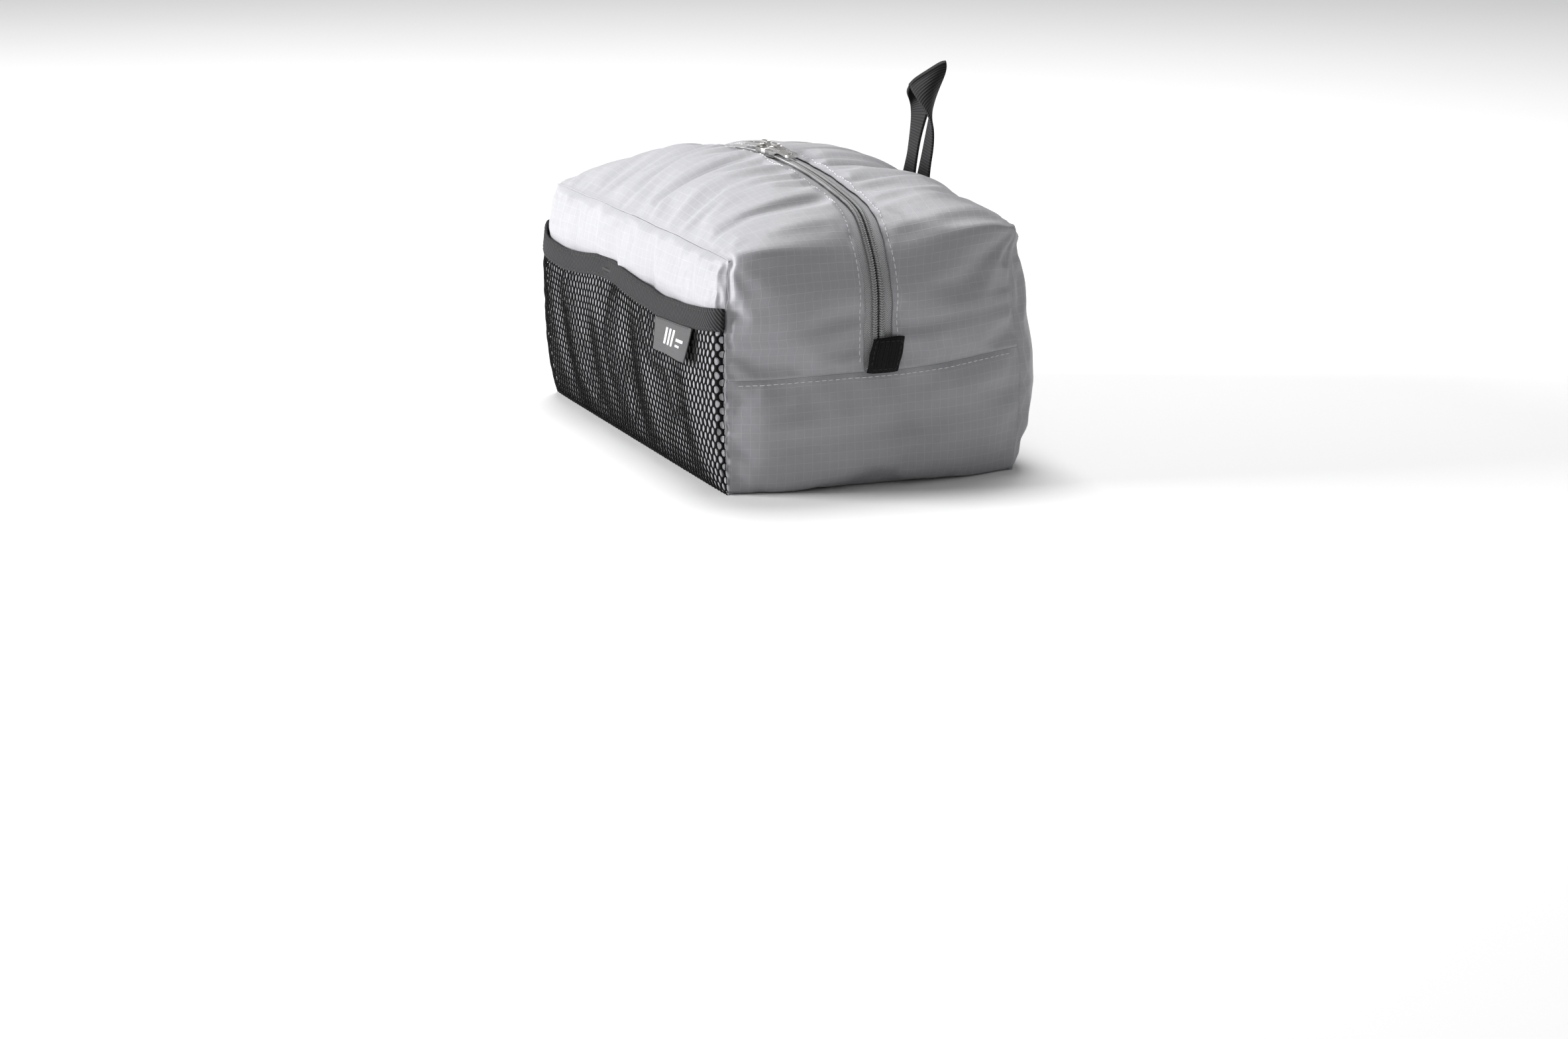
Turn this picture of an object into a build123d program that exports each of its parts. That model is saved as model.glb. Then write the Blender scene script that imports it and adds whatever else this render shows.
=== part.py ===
"""Zip-up packing cube for a suitcase: a soft ripstop box with a mesh side pocket.

The fabric box stands on z = 0, is centred on x = 0 and y = 0, and is 280 mm long in X. Its mesh pocket
faces -Y. The zip runs along the ridge of the top, in the plane y = 0, rounds both ends and stops
half-way down them under two webbing tabs. Its two sliders meet near the middle. A webbing loop stands in
the back top seam. Fabric walls are modelled 1 mm thick, which stands for the cloth and its seam turnings.
All sizes are in millimetres.
"""

from build123d import *
from math import asin, cos, degrees, radians, sin, sqrt
import os

# ---- driving dimensions -------------------------------------------------------------------------
LENGTH = 280.0            # corner to corner along X
DEPTH = 160.0             # corner to corner along Y
FRONT_SEAM_HEIGHT = 122.0
BACK_SEAM_HEIGHT = 129.0
RIDGE_HEIGHT = 153.0      # top of the cloth beside the zip, at mid length
ROOF_APEX = 157.0         # the cross-section's arcs aim above the ridge, which leaves the zip a level bed
WALL = 1.0
FRONT_BULGE = 5.5         # how far the front panel bellies out, behind the mesh
BACK_BULGE = 12.0
CORNER_BULGE = 3.0        # how far the upright corner seams bow out at mid height
END_REACH = 155.0         # the zip's distance from the middle, on the end walls
END_APEX = 157.0          # the plan's end arcs aim beyond the zip, for the same reason as ROOF_APEX
BASE_RADIUS = 12.0        # of the bottom band's turn from the base up the end walls
RIDGE_RADIUS = 560.0      # the zip's long arc over the top
SHOULDER_RADIUS = 45.0    # the zip's arc from the top down to an end wall
MID_SEAM_HEIGHT = 62.0    # the seam across each end wall, where the zip stops
BIG = 400.0               # longer than the whole object, for cutting tools

SLIT_HALF = 7.0           # the cloth's folded edges stop this far from the zip's centre
TAPE_HALF = 14.0          # the tapes reach this far out, under the cloth
TAPE_THICK = 0.55
TAPE_GAP = 0.45           # half the gap between the two tapes
COIL_INNER, COIL_OUTER = 0.45, 3.1
COIL_HEIGHT = 2.2
LAYER_GAP = 0.05
FLAP_HALF = 118.0         # the flaps of the top reach this far each way
JOINT_GAP = 0.4           # cut between a flap and what stays still
SEAM_TURN = 0.3           # how far the front and back panels turn in round their seams

SLIDER_MEET = -7.0        # where the two sliders' heads meet
SLIDER_LENGTH = 14.2
SLIDER_WIDTH = 9.2
PLATE_THICK = 1.3
SLIDER_CLEAR = 0.3
POST_HALF = 0.25          # half width of the web that joins the two plates, at the slider's head
POST_LENGTH = 4.0

PULLER_LENGTH = 26.0
PULLER_WIDTH = 7.6
PULLER_THICK = 1.3
PULLER_DROOP = 4.0        # degrees, resting on the slider's tail

TAB_HALF, TAB_HEIGHT, TAB_THICK = 9.0, 17.0, 1.8
TAB_GAP = 0.1             # between the tab and the end wall

POCKET_HEIGHT = 94.0      # top of the pocket's binding
BINDING_WIDTH = 10.0
BINDING_THICK = 1.6
MESH_THICK = 0.6
MESH_BULGE = 11.0         # how far it bellies out
MESH_FOOT = 1.0           # the mesh starts this far above the base, over its seam
MESH_BASE = 81.0          # the mesh starts this far in front of the middle
MESH_ARC_TOP = 130.0      # the mesh's upright arc would close here, so its mouth stands open

LABEL_WIDTH, LABEL_HEIGHT, LABEL_THICK = 54.0, 19.0, 0.8
LABEL_X = 89.0
LABEL_DROP = 0.4          # of its top edge below the binding
LABEL_STAND = 0.7         # between its back and the mesh

WEBBING_WIDTH, WEBBING_THICK = 20.0, 1.4
HANDLE_X = 6.0
HANDLE_HEIGHT = 72.0      # above the back seam
HANDLE_BEND = 6.0         # radius of the hairpin at the top of the loop
HANDLE_Y = 82.6           # the loop stands just behind the back top seam
STRAND_OFFSET = 10.4      # the two ends lie side by side in the seam
STRAND_FOOT = 1.5         # the loop starts this far above the seam
ANCHOR_DROP = 4.0         # top of the sewn ends below the seam
ANCHOR_HEIGHT = 14.0
ANCHOR_GAP = 0.6          # between the sewn ends and the back panel

BINDING_DEPTH, SEAM_TAPE_THICK = 8.0, 0.8
SEAM_TAPE_GAP = 0.2       # between a seam tape and the long panels

# ---- worked out from them -----------------------------------------------------------------------
HALF_L, HALF_D = LENGTH / 2, DEPTH / 2
RIDGE_CENTRE = RIDGE_HEIGHT - RIDGE_RADIUS           # height of the long arc's centre, on x = 0
SHOULDER_X = END_REACH - SHOULDER_RADIUS
SHOULDER_Z = RIDGE_CENTRE + sqrt((RIDGE_RADIUS - SHOULDER_RADIUS) ** 2 - SHOULDER_X ** 2)
SHOULDER_TURN = degrees(asin(SHOULDER_X / (RIDGE_RADIUS - SHOULDER_RADIUS)))   # off upright, at the join
TAPE_DROP = WALL + LAYER_GAP                         # tape's outer face below the cloth's outer face
COIL_TOP = COIL_HEIGHT - TAPE_DROP                   # coil's crest above the cloth's outer face


def box_between(low, high):
    """A box between two corners."""
    size = [b - a for a, b in zip(low, high)]
    centre = [(a + b) / 2 for a, b in zip(low, high)]
    return Pos(*centre) * Box(*size)


def ridge_point(radius, turn):
    """The point at turn degrees off upright on an arc of that radius about the long arc's centre."""
    return radius * sin(radians(turn)), RIDGE_CENTRE + radius * cos(radians(turn))


def shoulder_point(radius, turn):
    """The same on an arc about the right-hand shoulder's centre."""
    return SHOULDER_X + radius * sin(radians(turn)), SHOULDER_Z + radius * cos(radians(turn))


# ---- the box's outline, as three crossing prisms ------------------------------------------------
def side_outline(inset):
    """The outline in the plane of the zip: level base, upright ends, round shoulders, crowned top."""
    ridge, shoulder, reach = RIDGE_RADIUS - inset, SHOULDER_RADIUS - inset, END_REACH - inset
    join = ridge_point(ridge, SHOULDER_TURN)
    mid = shoulder_point(shoulder, (90 + SHOULDER_TURN) / 2)
    base, foot_x = inset, END_REACH - BASE_RADIUS
    turn = (BASE_RADIUS - inset) * sin(radians(45))
    foot_mid = (foot_x + turn, BASE_RADIUS - turn)
    edges = [
        Line((-foot_x, base), (foot_x, base)),
        ThreePointArc((foot_x, base), foot_mid, (reach, BASE_RADIUS)),
        Line((reach, BASE_RADIUS), (reach, SHOULDER_Z)),
        ThreePointArc((reach, SHOULDER_Z), mid, join),
        ThreePointArc(join, (0, RIDGE_CENTRE + ridge), (-join[0], join[1])),
        ThreePointArc((-join[0], join[1]), (-mid[0], mid[1]), (-reach, SHOULDER_Z)),
        Line((-reach, SHOULDER_Z), (-reach, BASE_RADIUS)),
        ThreePointArc((-reach, BASE_RADIUS), (-foot_mid[0], foot_mid[1]), (-foot_x, base)),
    ]
    return make_face(Plane.XZ * Curve(edges))


def roof_arc_middle(y_seam, z_seam):
    """The half-way point of an arc that is level over y = 0 at ROOF_APEX and ends at the seam."""
    drop = ROOF_APEX - z_seam
    radius = (y_seam ** 2 + drop ** 2) / (2 * drop)
    half = asin(abs(y_seam) / radius) / 2
    side = 1 if y_seam > 0 else -1
    return side * radius * sin(half), ROOF_APEX - radius * (1 - cos(half))


def cross_outline():
    """The outline across the zip: bellied front and back, and a roof of two arcs."""
    front, back = (-HALF_D, FRONT_SEAM_HEIGHT), (HALF_D, BACK_SEAM_HEIGHT)
    edges = [
        Line((-HALF_D, 0), (HALF_D, 0)),
        ThreePointArc((HALF_D, 0), (HALF_D + BACK_BULGE, BACK_SEAM_HEIGHT / 2), back),
        ThreePointArc(back, roof_arc_middle(*back), (0, ROOF_APEX)),
        ThreePointArc((0, ROOF_APEX), roof_arc_middle(*front), front),
        ThreePointArc(front, (-HALF_D - FRONT_BULGE, FRONT_SEAM_HEIGHT / 2), (-HALF_D, 0)),
    ]
    return make_face(Plane.YZ * Curve(edges))


def plan_outline():
    """The outline from above, as wide as the box is at mid height: four arcs between the corners."""
    corner = HALF_D + CORNER_BULGE
    front, back = -HALF_D - FRONT_BULGE, HALF_D + BACK_BULGE
    edges = [
        ThreePointArc((-HALF_L, -corner), (0, front), (HALF_L, -corner)),
        ThreePointArc((HALF_L, -corner), (END_APEX, 0), (HALF_L, corner)),
        ThreePointArc((HALF_L, corner), (0, back), (-HALF_L, corner)),
        ThreePointArc((-HALF_L, corner), (-END_APEX, 0), (-HALF_L, -corner)),
    ]
    return make_face(Curve(edges))


def filled_box(inset):
    """The whole soft box as one solid, with every face moved in by inset."""
    side = extrude(side_outline(inset), amount=BIG / 2, both=True)
    across = cross_outline()
    plan = plan_outline()
    if inset:
        across = offset(across, amount=-inset)
        plan = offset(plan, amount=-inset)
    return side & extrude(across, amount=BIG / 2, both=True) & extrude(plan, amount=BIG)


# ---- cloth panels -------------------------------------------------------------------------------
def cloth_shell():
    return filled_box(0) - filled_box(WALL)


def between_long_panels(inset):
    """All the space between the inner faces of the front and back panels, moved in by inset."""
    edge, base = HALF_D - WALL - inset, -WALL
    corner, front_apex, back_apex = edge + CORNER_BULGE, -edge - FRONT_BULGE, edge + BACK_BULGE
    across = make_face(Plane.YZ * Curve([
        ThreePointArc((-edge, 0), (front_apex, FRONT_SEAM_HEIGHT / 2), (-edge, FRONT_SEAM_HEIGHT)),
        Polyline((-edge, FRONT_SEAM_HEIGHT), (-edge, BIG), (edge, BIG), (edge, BACK_SEAM_HEIGHT)),
        ThreePointArc((edge, BACK_SEAM_HEIGHT), (back_apex, BACK_SEAM_HEIGHT / 2), (edge, 0)),
        Polyline((edge, 0), (edge, base), (-edge, base), (-edge, 0)),
    ]))
    plan = make_face(Curve([
        ThreePointArc((-HALF_L, -corner), (0, front_apex), (HALF_L, -corner)),
        Polyline((HALF_L, -corner), (BIG, -corner), (BIG, corner), (HALF_L, corner)),
        ThreePointArc((HALF_L, corner), (0, back_apex), (-HALF_L, corner)),
        Polyline((-HALF_L, corner), (-BIG, corner), (-BIG, -corner), (-HALF_L, -corner)),
    ]))
    return extrude(across, amount=BIG, both=True) & extrude(plan, amount=BIG, both=True)


def long_panel(shell, side):
    """The front (-1) or back (1) panel: all the cloth beyond the corner seams."""
    low, high = sorted((0, side * BIG))
    return (shell - between_long_panels(SEAM_TURN)) & box_between((-BIG, low, -BIG), (BIG, high, BIG))


def bottom_band(shell):
    """One strip: up half of one end wall, under the base, and up half of the other."""
    strips = shell & between_long_panels(SEAM_TURN)
    return strips & box_between((-BIG, -BIG, -BIG), (BIG, BIG, MID_SEAM_HEIGHT))


def upper_strip(shell, side):
    """The strip on one side of the zip, over the top and half-way down both ends."""
    low, high = sorted((side * SLIT_HALF, side * BIG))
    strips = shell & between_long_panels(SEAM_TURN)
    return strips & box_between((-BIG, low, MID_SEAM_HEIGHT), (BIG, high, BIG))


def flap_part(strip, side):
    """The part of an upper strip that folds back when the zip is open, clear of its hinge seam."""
    low, high = sorted((0, side * (HALF_D - WALL - SEAM_TURN - JOINT_GAP)))
    return strip & box_between((-FLAP_HALF, low, 0), (FLAP_HALF, high, BIG))


def gusset_part(strip, end):
    """The part of an upper strip that stays on the right (1) or left (-1) end wall."""
    low, high = sorted((end * (FLAP_HALF + JOINT_GAP), end * BIG))
    return strip & box_between((low, -BIG, 0), (high, BIG, BIG))


def seam_tape(side):
    """The binding tape sewn over the raw seam edges, inside the front or back seam loop."""
    low, high = sorted((0, side * BIG))
    ring = filled_box(WALL + LAYER_GAP) - filled_box(WALL + LAYER_GAP + SEAM_TAPE_THICK)
    edge = LAYER_GAP + SEAM_TAPE_THICK + SEAM_TAPE_GAP
    ring = ring & between_long_panels(edge) & box_between((-BIG, low, -BIG), (BIG, high, BIG))
    return ring - between_long_panels(edge + BINDING_DEPTH)


# ---- zip ----------------------------------------------------------------------------------------
def strip_over_top(low_y, high_y, low_rise, high_rise):
    """A bar of rectangular section that follows the zip's long arc over the flaps. Rises are from the
    cloth's outer face."""
    turn = degrees(asin(FLAP_HALF / RIDGE_RADIUS))
    ring = Cylinder(RIDGE_RADIUS + high_rise, high_y - low_y, rotation=(90, 0, 0))
    ring -= Cylinder(RIDGE_RADIUS + low_rise, high_y - low_y, rotation=(90, 0, 0))
    ring = Pos(0, (low_y + high_y) / 2, RIDGE_CENTRE) * ring
    reach = (RIDGE_RADIUS + low_rise) * sin(radians(turn))
    return ring & box_between((-reach, low_y, 0), (reach, high_y, BIG))


def strip_down_end(low_y, high_y, low_rise, high_rise, bottom, end):
    """The same bar from a flap's edge, round the shoulder and down the right or left end wall."""
    outer, inner = side_outline(-high_rise), side_outline(-low_rise)
    bar = extrude(outer - inner, amount=BIG / 2, both=True)
    bar = bar & box_between((FLAP_HALF + JOINT_GAP, low_y, bottom), (BIG, high_y, BIG))
    return bar if end > 0 else mirror(bar, Plane.YZ)


def tape_section(side):
    return sorted((side * TAPE_GAP, side * TAPE_HALF)) + [-TAPE_DROP - TAPE_THICK, -TAPE_DROP]


def coil_section(side):
    return sorted((side * COIL_INNER, side * COIL_OUTER)) + [-TAPE_DROP + LAYER_GAP, COIL_TOP]


def zip_end_tab(end):
    """A folded webbing tab over the zip's end, sewn into the seam across the end wall."""
    tab = box_between(
        (END_REACH + TAB_GAP, -TAB_HALF, MID_SEAM_HEIGHT),
        (END_REACH + TAB_GAP + TAB_THICK, TAB_HALF, MID_SEAM_HEIGHT + TAB_HEIGHT),
    )
    tab = fillet(tab.edges().filter_by(Axis.Y).sort_by(Axis.X)[-2:], 0.7)
    return tab if end > 0 else mirror(tab, Plane.YZ)


# ---- sliders and pullers, made over x = 0 and then turned along the ridge -----------------------
def along_ridge(shape, x):
    """Turns a shape made over x = 0 along the long arc until it stands at x."""
    turn = degrees(asin(x / RIDGE_RADIUS))
    return Pos(0, 0, RIDGE_CENTRE) * Rot(0, turn, 0) * Pos(0, 0, -RIDGE_CENTRE) * shape


TOP_PLATE_LOW = RIDGE_HEIGHT + COIL_TOP + SLIDER_CLEAR
TOP_PLATE_HIGH = TOP_PLATE_LOW + PLATE_THICK
LOW_PLATE_HIGH = RIDGE_HEIGHT - TAPE_DROP - TAPE_THICK - SLIDER_CLEAR
LOW_PLATE_LOW = LOW_PLATE_HIGH - PLATE_THICK
PIVOT_RISE = 1.35         # of the puller's bar above the top plate
PIVOT_HEIGHT = TOP_PLATE_HIGH + PIVOT_RISE
BAR_RADIUS = 0.7
BRIDGE_HALF_WIDTH = 1.1
BRIDGE_THICK = 1.3
BRIDGE_HALF_LENGTH = 5.0
BRIDGE_RAKE = 1.2         # how far each of its legs leans in
BRIDGE_CLEAR = 0.35       # between it and the puller's bar
HEAD_TAPER, TAIL_TAPER = 3.0, 0.7
PLATE_ROUND = 0.45
CHANNEL_HALF = 3.4        # half width of the way for the coil, between the flanges
POST_SETBACK = 0.8
OVERLAP = 0.2             # how far parts of one casting run into each other
PLATE_START = 6.2         # the puller's plate starts beyond the bridge's foot
SLOT_LENGTH, SLOT_WIDTH = 5.6, 3.4
SLOT_SETBACK = 5.2        # from the puller's tip
RECESS_DEPTH = 0.3
RECESS_RIM = 1.3
RECESS_SHORTER, RECESS_SHIFT = 9.5, -2.6


def slider_plate(low, high):
    """A slider's plate in plan: broad at the head, on -X, and narrower at the tail."""
    half_l, half_w = SLIDER_LENGTH / 2, SLIDER_WIDTH / 2
    tail = half_w - TAIL_TAPER
    head = -half_l + HEAD_TAPER
    outline = Polyline(
        (-half_l, -half_w + 1), (head, -half_w), (1, -half_w), (half_l - 1, -tail),
        (half_l, -tail + 1), (half_l, tail - 1), (half_l - 1, tail), (1, half_w),
        (head, half_w), (-half_l, half_w - 1), close=True,
    )
    return Pos(0, 0, low) * extrude(make_face(outline), amount=high - low)


def slider_bridge():
    """The arch over the slider that holds the puller's bar."""
    foot = TOP_PLATE_HIGH - OVERLAP
    crest = PIVOT_HEIGHT + BAR_RADIUS + BRIDGE_CLEAR
    low, high = BRIDGE_HALF_LENGTH, BRIDGE_HALF_LENGTH - BRIDGE_RAKE
    outside = Plane.XZ * make_face(Polyline(
        (-low, foot), (-high, crest + BRIDGE_THICK), (high, crest + BRIDGE_THICK), (low, foot),
        close=True,
    ))
    low_in, high_in = low - 1.6, low - 2.2
    inside = Plane.XZ * make_face(Polyline(
        (-low_in, foot - 1), (-high_in, crest), (high_in, crest), (low_in, foot - 1), close=True,
    ))
    bridge = extrude(outside - inside, amount=BRIDGE_HALF_WIDTH, both=True)
    return fillet(bridge.edges().group_by(Axis.Z)[-1], 0.5)


def slider_body():
    """A slider with its head on -X: two plates, side flanges, the post between them and the bridge."""
    top = slider_plate(TOP_PLATE_LOW, TOP_PLATE_HIGH)
    top = fillet(top.edges().group_by(Axis.Z)[-1], PLATE_ROUND)
    low = slider_plate(LOW_PLATE_LOW, LOW_PLATE_HIGH)
    low = fillet(low.edges().group_by(Axis.Z)[0], PLATE_ROUND)
    flange_low = RIDGE_HEIGHT - TAPE_DROP + SLIDER_CLEAR
    channel = box_between((-BIG, -CHANNEL_HALF, 0), (BIG, CHANNEL_HALF, BIG))
    flanges = slider_plate(flange_low, TOP_PLATE_LOW) - channel
    post_start = -SLIDER_LENGTH / 2 + POST_SETBACK
    post = box_between(
        (post_start, -POST_HALF, LOW_PLATE_HIGH - OVERLAP),
        (post_start + POST_LENGTH, POST_HALF, TOP_PLATE_LOW + OVERLAP),
    )
    return top + low + flanges + post + slider_bridge()


def puller():
    """A flat pull: a bar through the bridge, two arms, and a plate with a slot near its round tip."""
    arm_inner, half_w = BRIDGE_HALF_WIDTH + BRIDGE_CLEAR, PULLER_WIDTH / 2
    middle, length = (PLATE_START + PULLER_LENGTH) / 2, PULLER_LENGTH - PLATE_START
    blank = Pos(middle, 0, 0) * Box(length, PULLER_WIDTH, PULLER_THICK)
    blank = fillet(blank.edges().filter_by(Axis.Z).sort_by(Axis.X)[-2:], half_w - 0.4)
    slot = extrude(SlotOverall(SLOT_LENGTH, SLOT_WIDTH), amount=PULLER_THICK, both=True)
    slot = Pos(PULLER_LENGTH - SLOT_SETBACK, 0, 0) * slot
    recess_length, recess_width = length - RECESS_SHORTER, PULLER_WIDTH - 2 * RECESS_RIM
    place = Pos(middle + RECESS_SHIFT, 0, 0)
    groove = place * Box(recess_length, recess_width, PULLER_THICK + 1)
    web = place * Box(recess_length, recess_width, PULLER_THICK - 2 * RECESS_DEPTH)
    pieces = (blank - slot - groove) + web
    pieces += Cylinder(BAR_RADIUS, 2 * half_w - 0.6, rotation=(90, 0, 0))
    arm_length = PLATE_START + OVERLAP
    arm = Pos(arm_length / 2, 0, 0) * Box(arm_length, half_w - arm_inner, PULLER_THICK - 0.1)
    eye = Cylinder(PULLER_THICK / 2, half_w - arm_inner, rotation=(90, 0, 0))
    for side in (-1, 1):
        pieces += Pos(0, side * (half_w + arm_inner) / 2, 0) * (arm + eye)
    return Pos(0, 0, PIVOT_HEIGHT) * Rot(0, PULLER_DROOP, 0) * pieces


# ---- mesh pocket and label ----------------------------------------------------------------------
def pocket_sheet(low_rise, high_rise):
    """A thin sheet between two offsets of the pocket's bellied surface, from the base to the corner
    seams. Rises are outwards from the mesh's inner face."""
    def filled(rise):
        base, apex = -MESH_BASE - rise, -MESH_BASE - MESH_BULGE - rise
        corner = base - CORNER_BULGE
        upright = make_face(Plane.YZ * Curve([
            ThreePointArc((base, 0), (apex, MESH_ARC_TOP / 2), (base, MESH_ARC_TOP)),
            Line((base, MESH_ARC_TOP), (0, MESH_ARC_TOP)),
            Line((0, MESH_ARC_TOP), (0, 0)),
            Line((0, 0), (base, 0)),
        ]))
        plan = make_face(Curve([
            ThreePointArc((-HALF_L, corner), (0, apex), (HALF_L, corner)),
            Line((HALF_L, corner), (HALF_L, 0)),
            Line((HALF_L, 0), (-HALF_L, 0)),
            Line((-HALF_L, 0), (-HALF_L, corner)),
        ]))
        return extrude(upright, amount=BIG / 2, both=True) & extrude(plan, amount=BIG)
    return filled(high_rise) - filled(low_rise)


def mesh_pocket():
    top = POCKET_HEIGHT - BINDING_WIDTH / 2
    return pocket_sheet(0, MESH_THICK) & box_between(
        (-BIG, -BIG, MESH_FOOT), (BIG, -MESH_BASE + MESH_THICK / 2, top)
    )


def pocket_binding():
    """Woven tape folded over the mesh's top edge: one leaf in front of it and one behind."""
    low, top = POCKET_HEIGHT - BINDING_WIDTH, POCKET_HEIGHT
    leaf = (BINDING_THICK - MESH_THICK) / 2
    tape = pocket_sheet(-leaf, MESH_THICK + leaf)
    tape = tape & box_between((-BIG, -BIG, low), (BIG, -MESH_BASE + MESH_THICK / 2, top))
    fold = low + BINDING_WIDTH / 2      # the mesh reaches this far up between the leaves
    return tape - (pocket_sheet(0, MESH_THICK) & box_between((-BIG, -BIG, 0), (BIG, 0, fold)))


def mesh_front(x, z):
    """How far in front of the middle the mesh's inner face stands, taken positive."""
    def arc_height(half_chord, height, along):
        radius = (half_chord ** 2 + height ** 2) / (2 * height)
        return sqrt(radius ** 2 - along ** 2) - (radius - height)
    upright = arc_height(MESH_ARC_TOP / 2, MESH_BULGE, z - MESH_ARC_TOP / 2)
    plan = CORNER_BULGE + arc_height(HALF_L, MESH_BULGE - CORNER_BULGE, x)
    return MESH_BASE + min(plan, upright)


def woven_label():
    """A folded woven tag that hangs from the binding, in front of the mesh, parallel to it in plan."""
    top = POCKET_HEIGHT - BINDING_WIDTH - LABEL_DROP
    middle = top - LABEL_HEIGHT / 2
    ends = [mesh_front(LABEL_X + side * LABEL_WIDTH / 2, middle) for side in (-1, 1)]
    tilt = degrees(asin((ends[0] - ends[1]) / LABEL_WIDTH))
    front = mesh_front(LABEL_X, middle) + MESH_THICK + LABEL_STAND + LABEL_THICK / 2
    tag = Box(LABEL_WIDTH, LABEL_THICK, LABEL_HEIGHT)
    tag = fillet(tag.edges().filter_by(Axis.Y).group_by(Axis.Z)[0], 1.0)
    return Pos(LABEL_X, -front, middle) * Rot(0, 0, tilt) * tag


# ---- handle -------------------------------------------------------------------------------------
def handle_strand(side):
    """One strand of the loop: flat along X at the seam, and turned edge-on by a quarter twist above."""
    base_z, top_z = BACK_SEAM_HEIGHT + STRAND_FOOT, BACK_SEAM_HEIGHT + HANDLE_HEIGHT - HANDLE_BEND
    steps = 6
    sections = []
    for i in range(steps + 1):
        share = i / steps
        ease = share * share * (3 - 2 * share)
        x = HANDLE_X + side * (STRAND_OFFSET + (HANDLE_BEND - STRAND_OFFSET) * ease)
        place = Pos(x, HANDLE_Y, base_z + (top_z - base_z) * share) * Rot(0, 0, side * 90 * ease)
        sections.append(place * Rectangle(WEBBING_WIDTH, WEBBING_THICK))
    return loft(sections)


def webbing_handle():
    """Two strands whose ends lie side by side in the back top seam, and a hairpin that joins them."""
    centre_z = BACK_SEAM_HEIGHT + HANDLE_HEIGHT - HANDLE_BEND
    outer, inner = HANDLE_BEND + WEBBING_THICK / 2, HANDLE_BEND - WEBBING_THICK / 2
    bend = Cylinder(outer, WEBBING_WIDTH, rotation=(90, 0, 0))
    bend -= Cylinder(inner, WEBBING_WIDTH, rotation=(90, 0, 0))
    bend = bend & box_between((-BIG, -BIG, 0), (BIG, BIG, BIG))
    bend = Pos(HANDLE_X, HANDLE_Y, centre_z) * bend
    return handle_strand(-1) + handle_strand(1) + bend


def handle_anchor():
    """The sewn ends of the webbing, inside the box against the top of the back panel."""
    half_width = STRAND_OFFSET + WEBBING_WIDTH / 2
    face = HALF_D - WALL - ANCHOR_GAP
    top = BACK_SEAM_HEIGHT - ANCHOR_DROP
    return box_between(
        (HANDLE_X - half_width, face - WEBBING_THICK, top - ANCHOR_HEIGHT),
        (HANDLE_X + half_width, face, top),
    )


# ---- build --------------------------------------------------------------------------------------
def build():
    shell = cloth_shell()
    nodes = {
        "front_panel": long_panel(shell, -1),
        "back_panel": long_panel(shell, 1),
        "bottom_band": bottom_band(shell),
        "front_seam_tape": seam_tape(-1),
        "back_seam_tape": seam_tape(1),
        "mesh_pocket": mesh_pocket(),
        "pocket_binding": pocket_binding(),
        "woven_label": woven_label(),
        "webbing_handle": webbing_handle(),
        "handle_anchor": handle_anchor(),
    }
    coil_end = MID_SEAM_HEIGHT + TAB_HEIGHT + 0.5
    for name, side in (("front", -1), ("back", 1)):
        strip = upper_strip(shell, side)
        nodes[f"top_{name}_panel"] = flap_part(strip, side)
        for end_name, end in (("right", 1), ("left", -1)):
            nodes[f"{end_name}_{name}_gusset"] = gusset_part(strip, end)
        nodes[f"top_{name}_tape"] = strip_over_top(*tape_section(side))
        nodes[f"top_{name}_coil"] = strip_over_top(*coil_section(side))
        nodes[f"{name}_tape_ends"] = Compound([
            strip_down_end(*tape_section(side), MID_SEAM_HEIGHT, end).solid() for end in (1, -1)
        ])
        nodes[f"{name}_coil_ends"] = Compound([
            strip_down_end(*coil_section(side), coil_end, end).solid() for end in (1, -1)
        ])
    half = SLIDER_LENGTH / 2 + 0.1
    for name, end in (("right", 1), ("left", -1)):
        turn = Rot(0, 0, 0 if end > 0 else 180)
        x = SLIDER_MEET + end * half
        nodes[f"{name}_slider"] = along_ridge(turn * slider_body(), x)
        nodes[f"{name}_puller"] = along_ridge(turn * puller(), x)
        nodes[f"{name}_zip_tab"] = zip_end_tab(end)
    return nodes


os.makedirs("parts", exist_ok=True)
for node, shape in build().items():
    export_step(shape, f"parts/{node}.step")
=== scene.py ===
import math

import bpy
import numpy as np
from mathutils import Matrix, Vector
from mathutils.bvhtree import BVHTree


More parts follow.
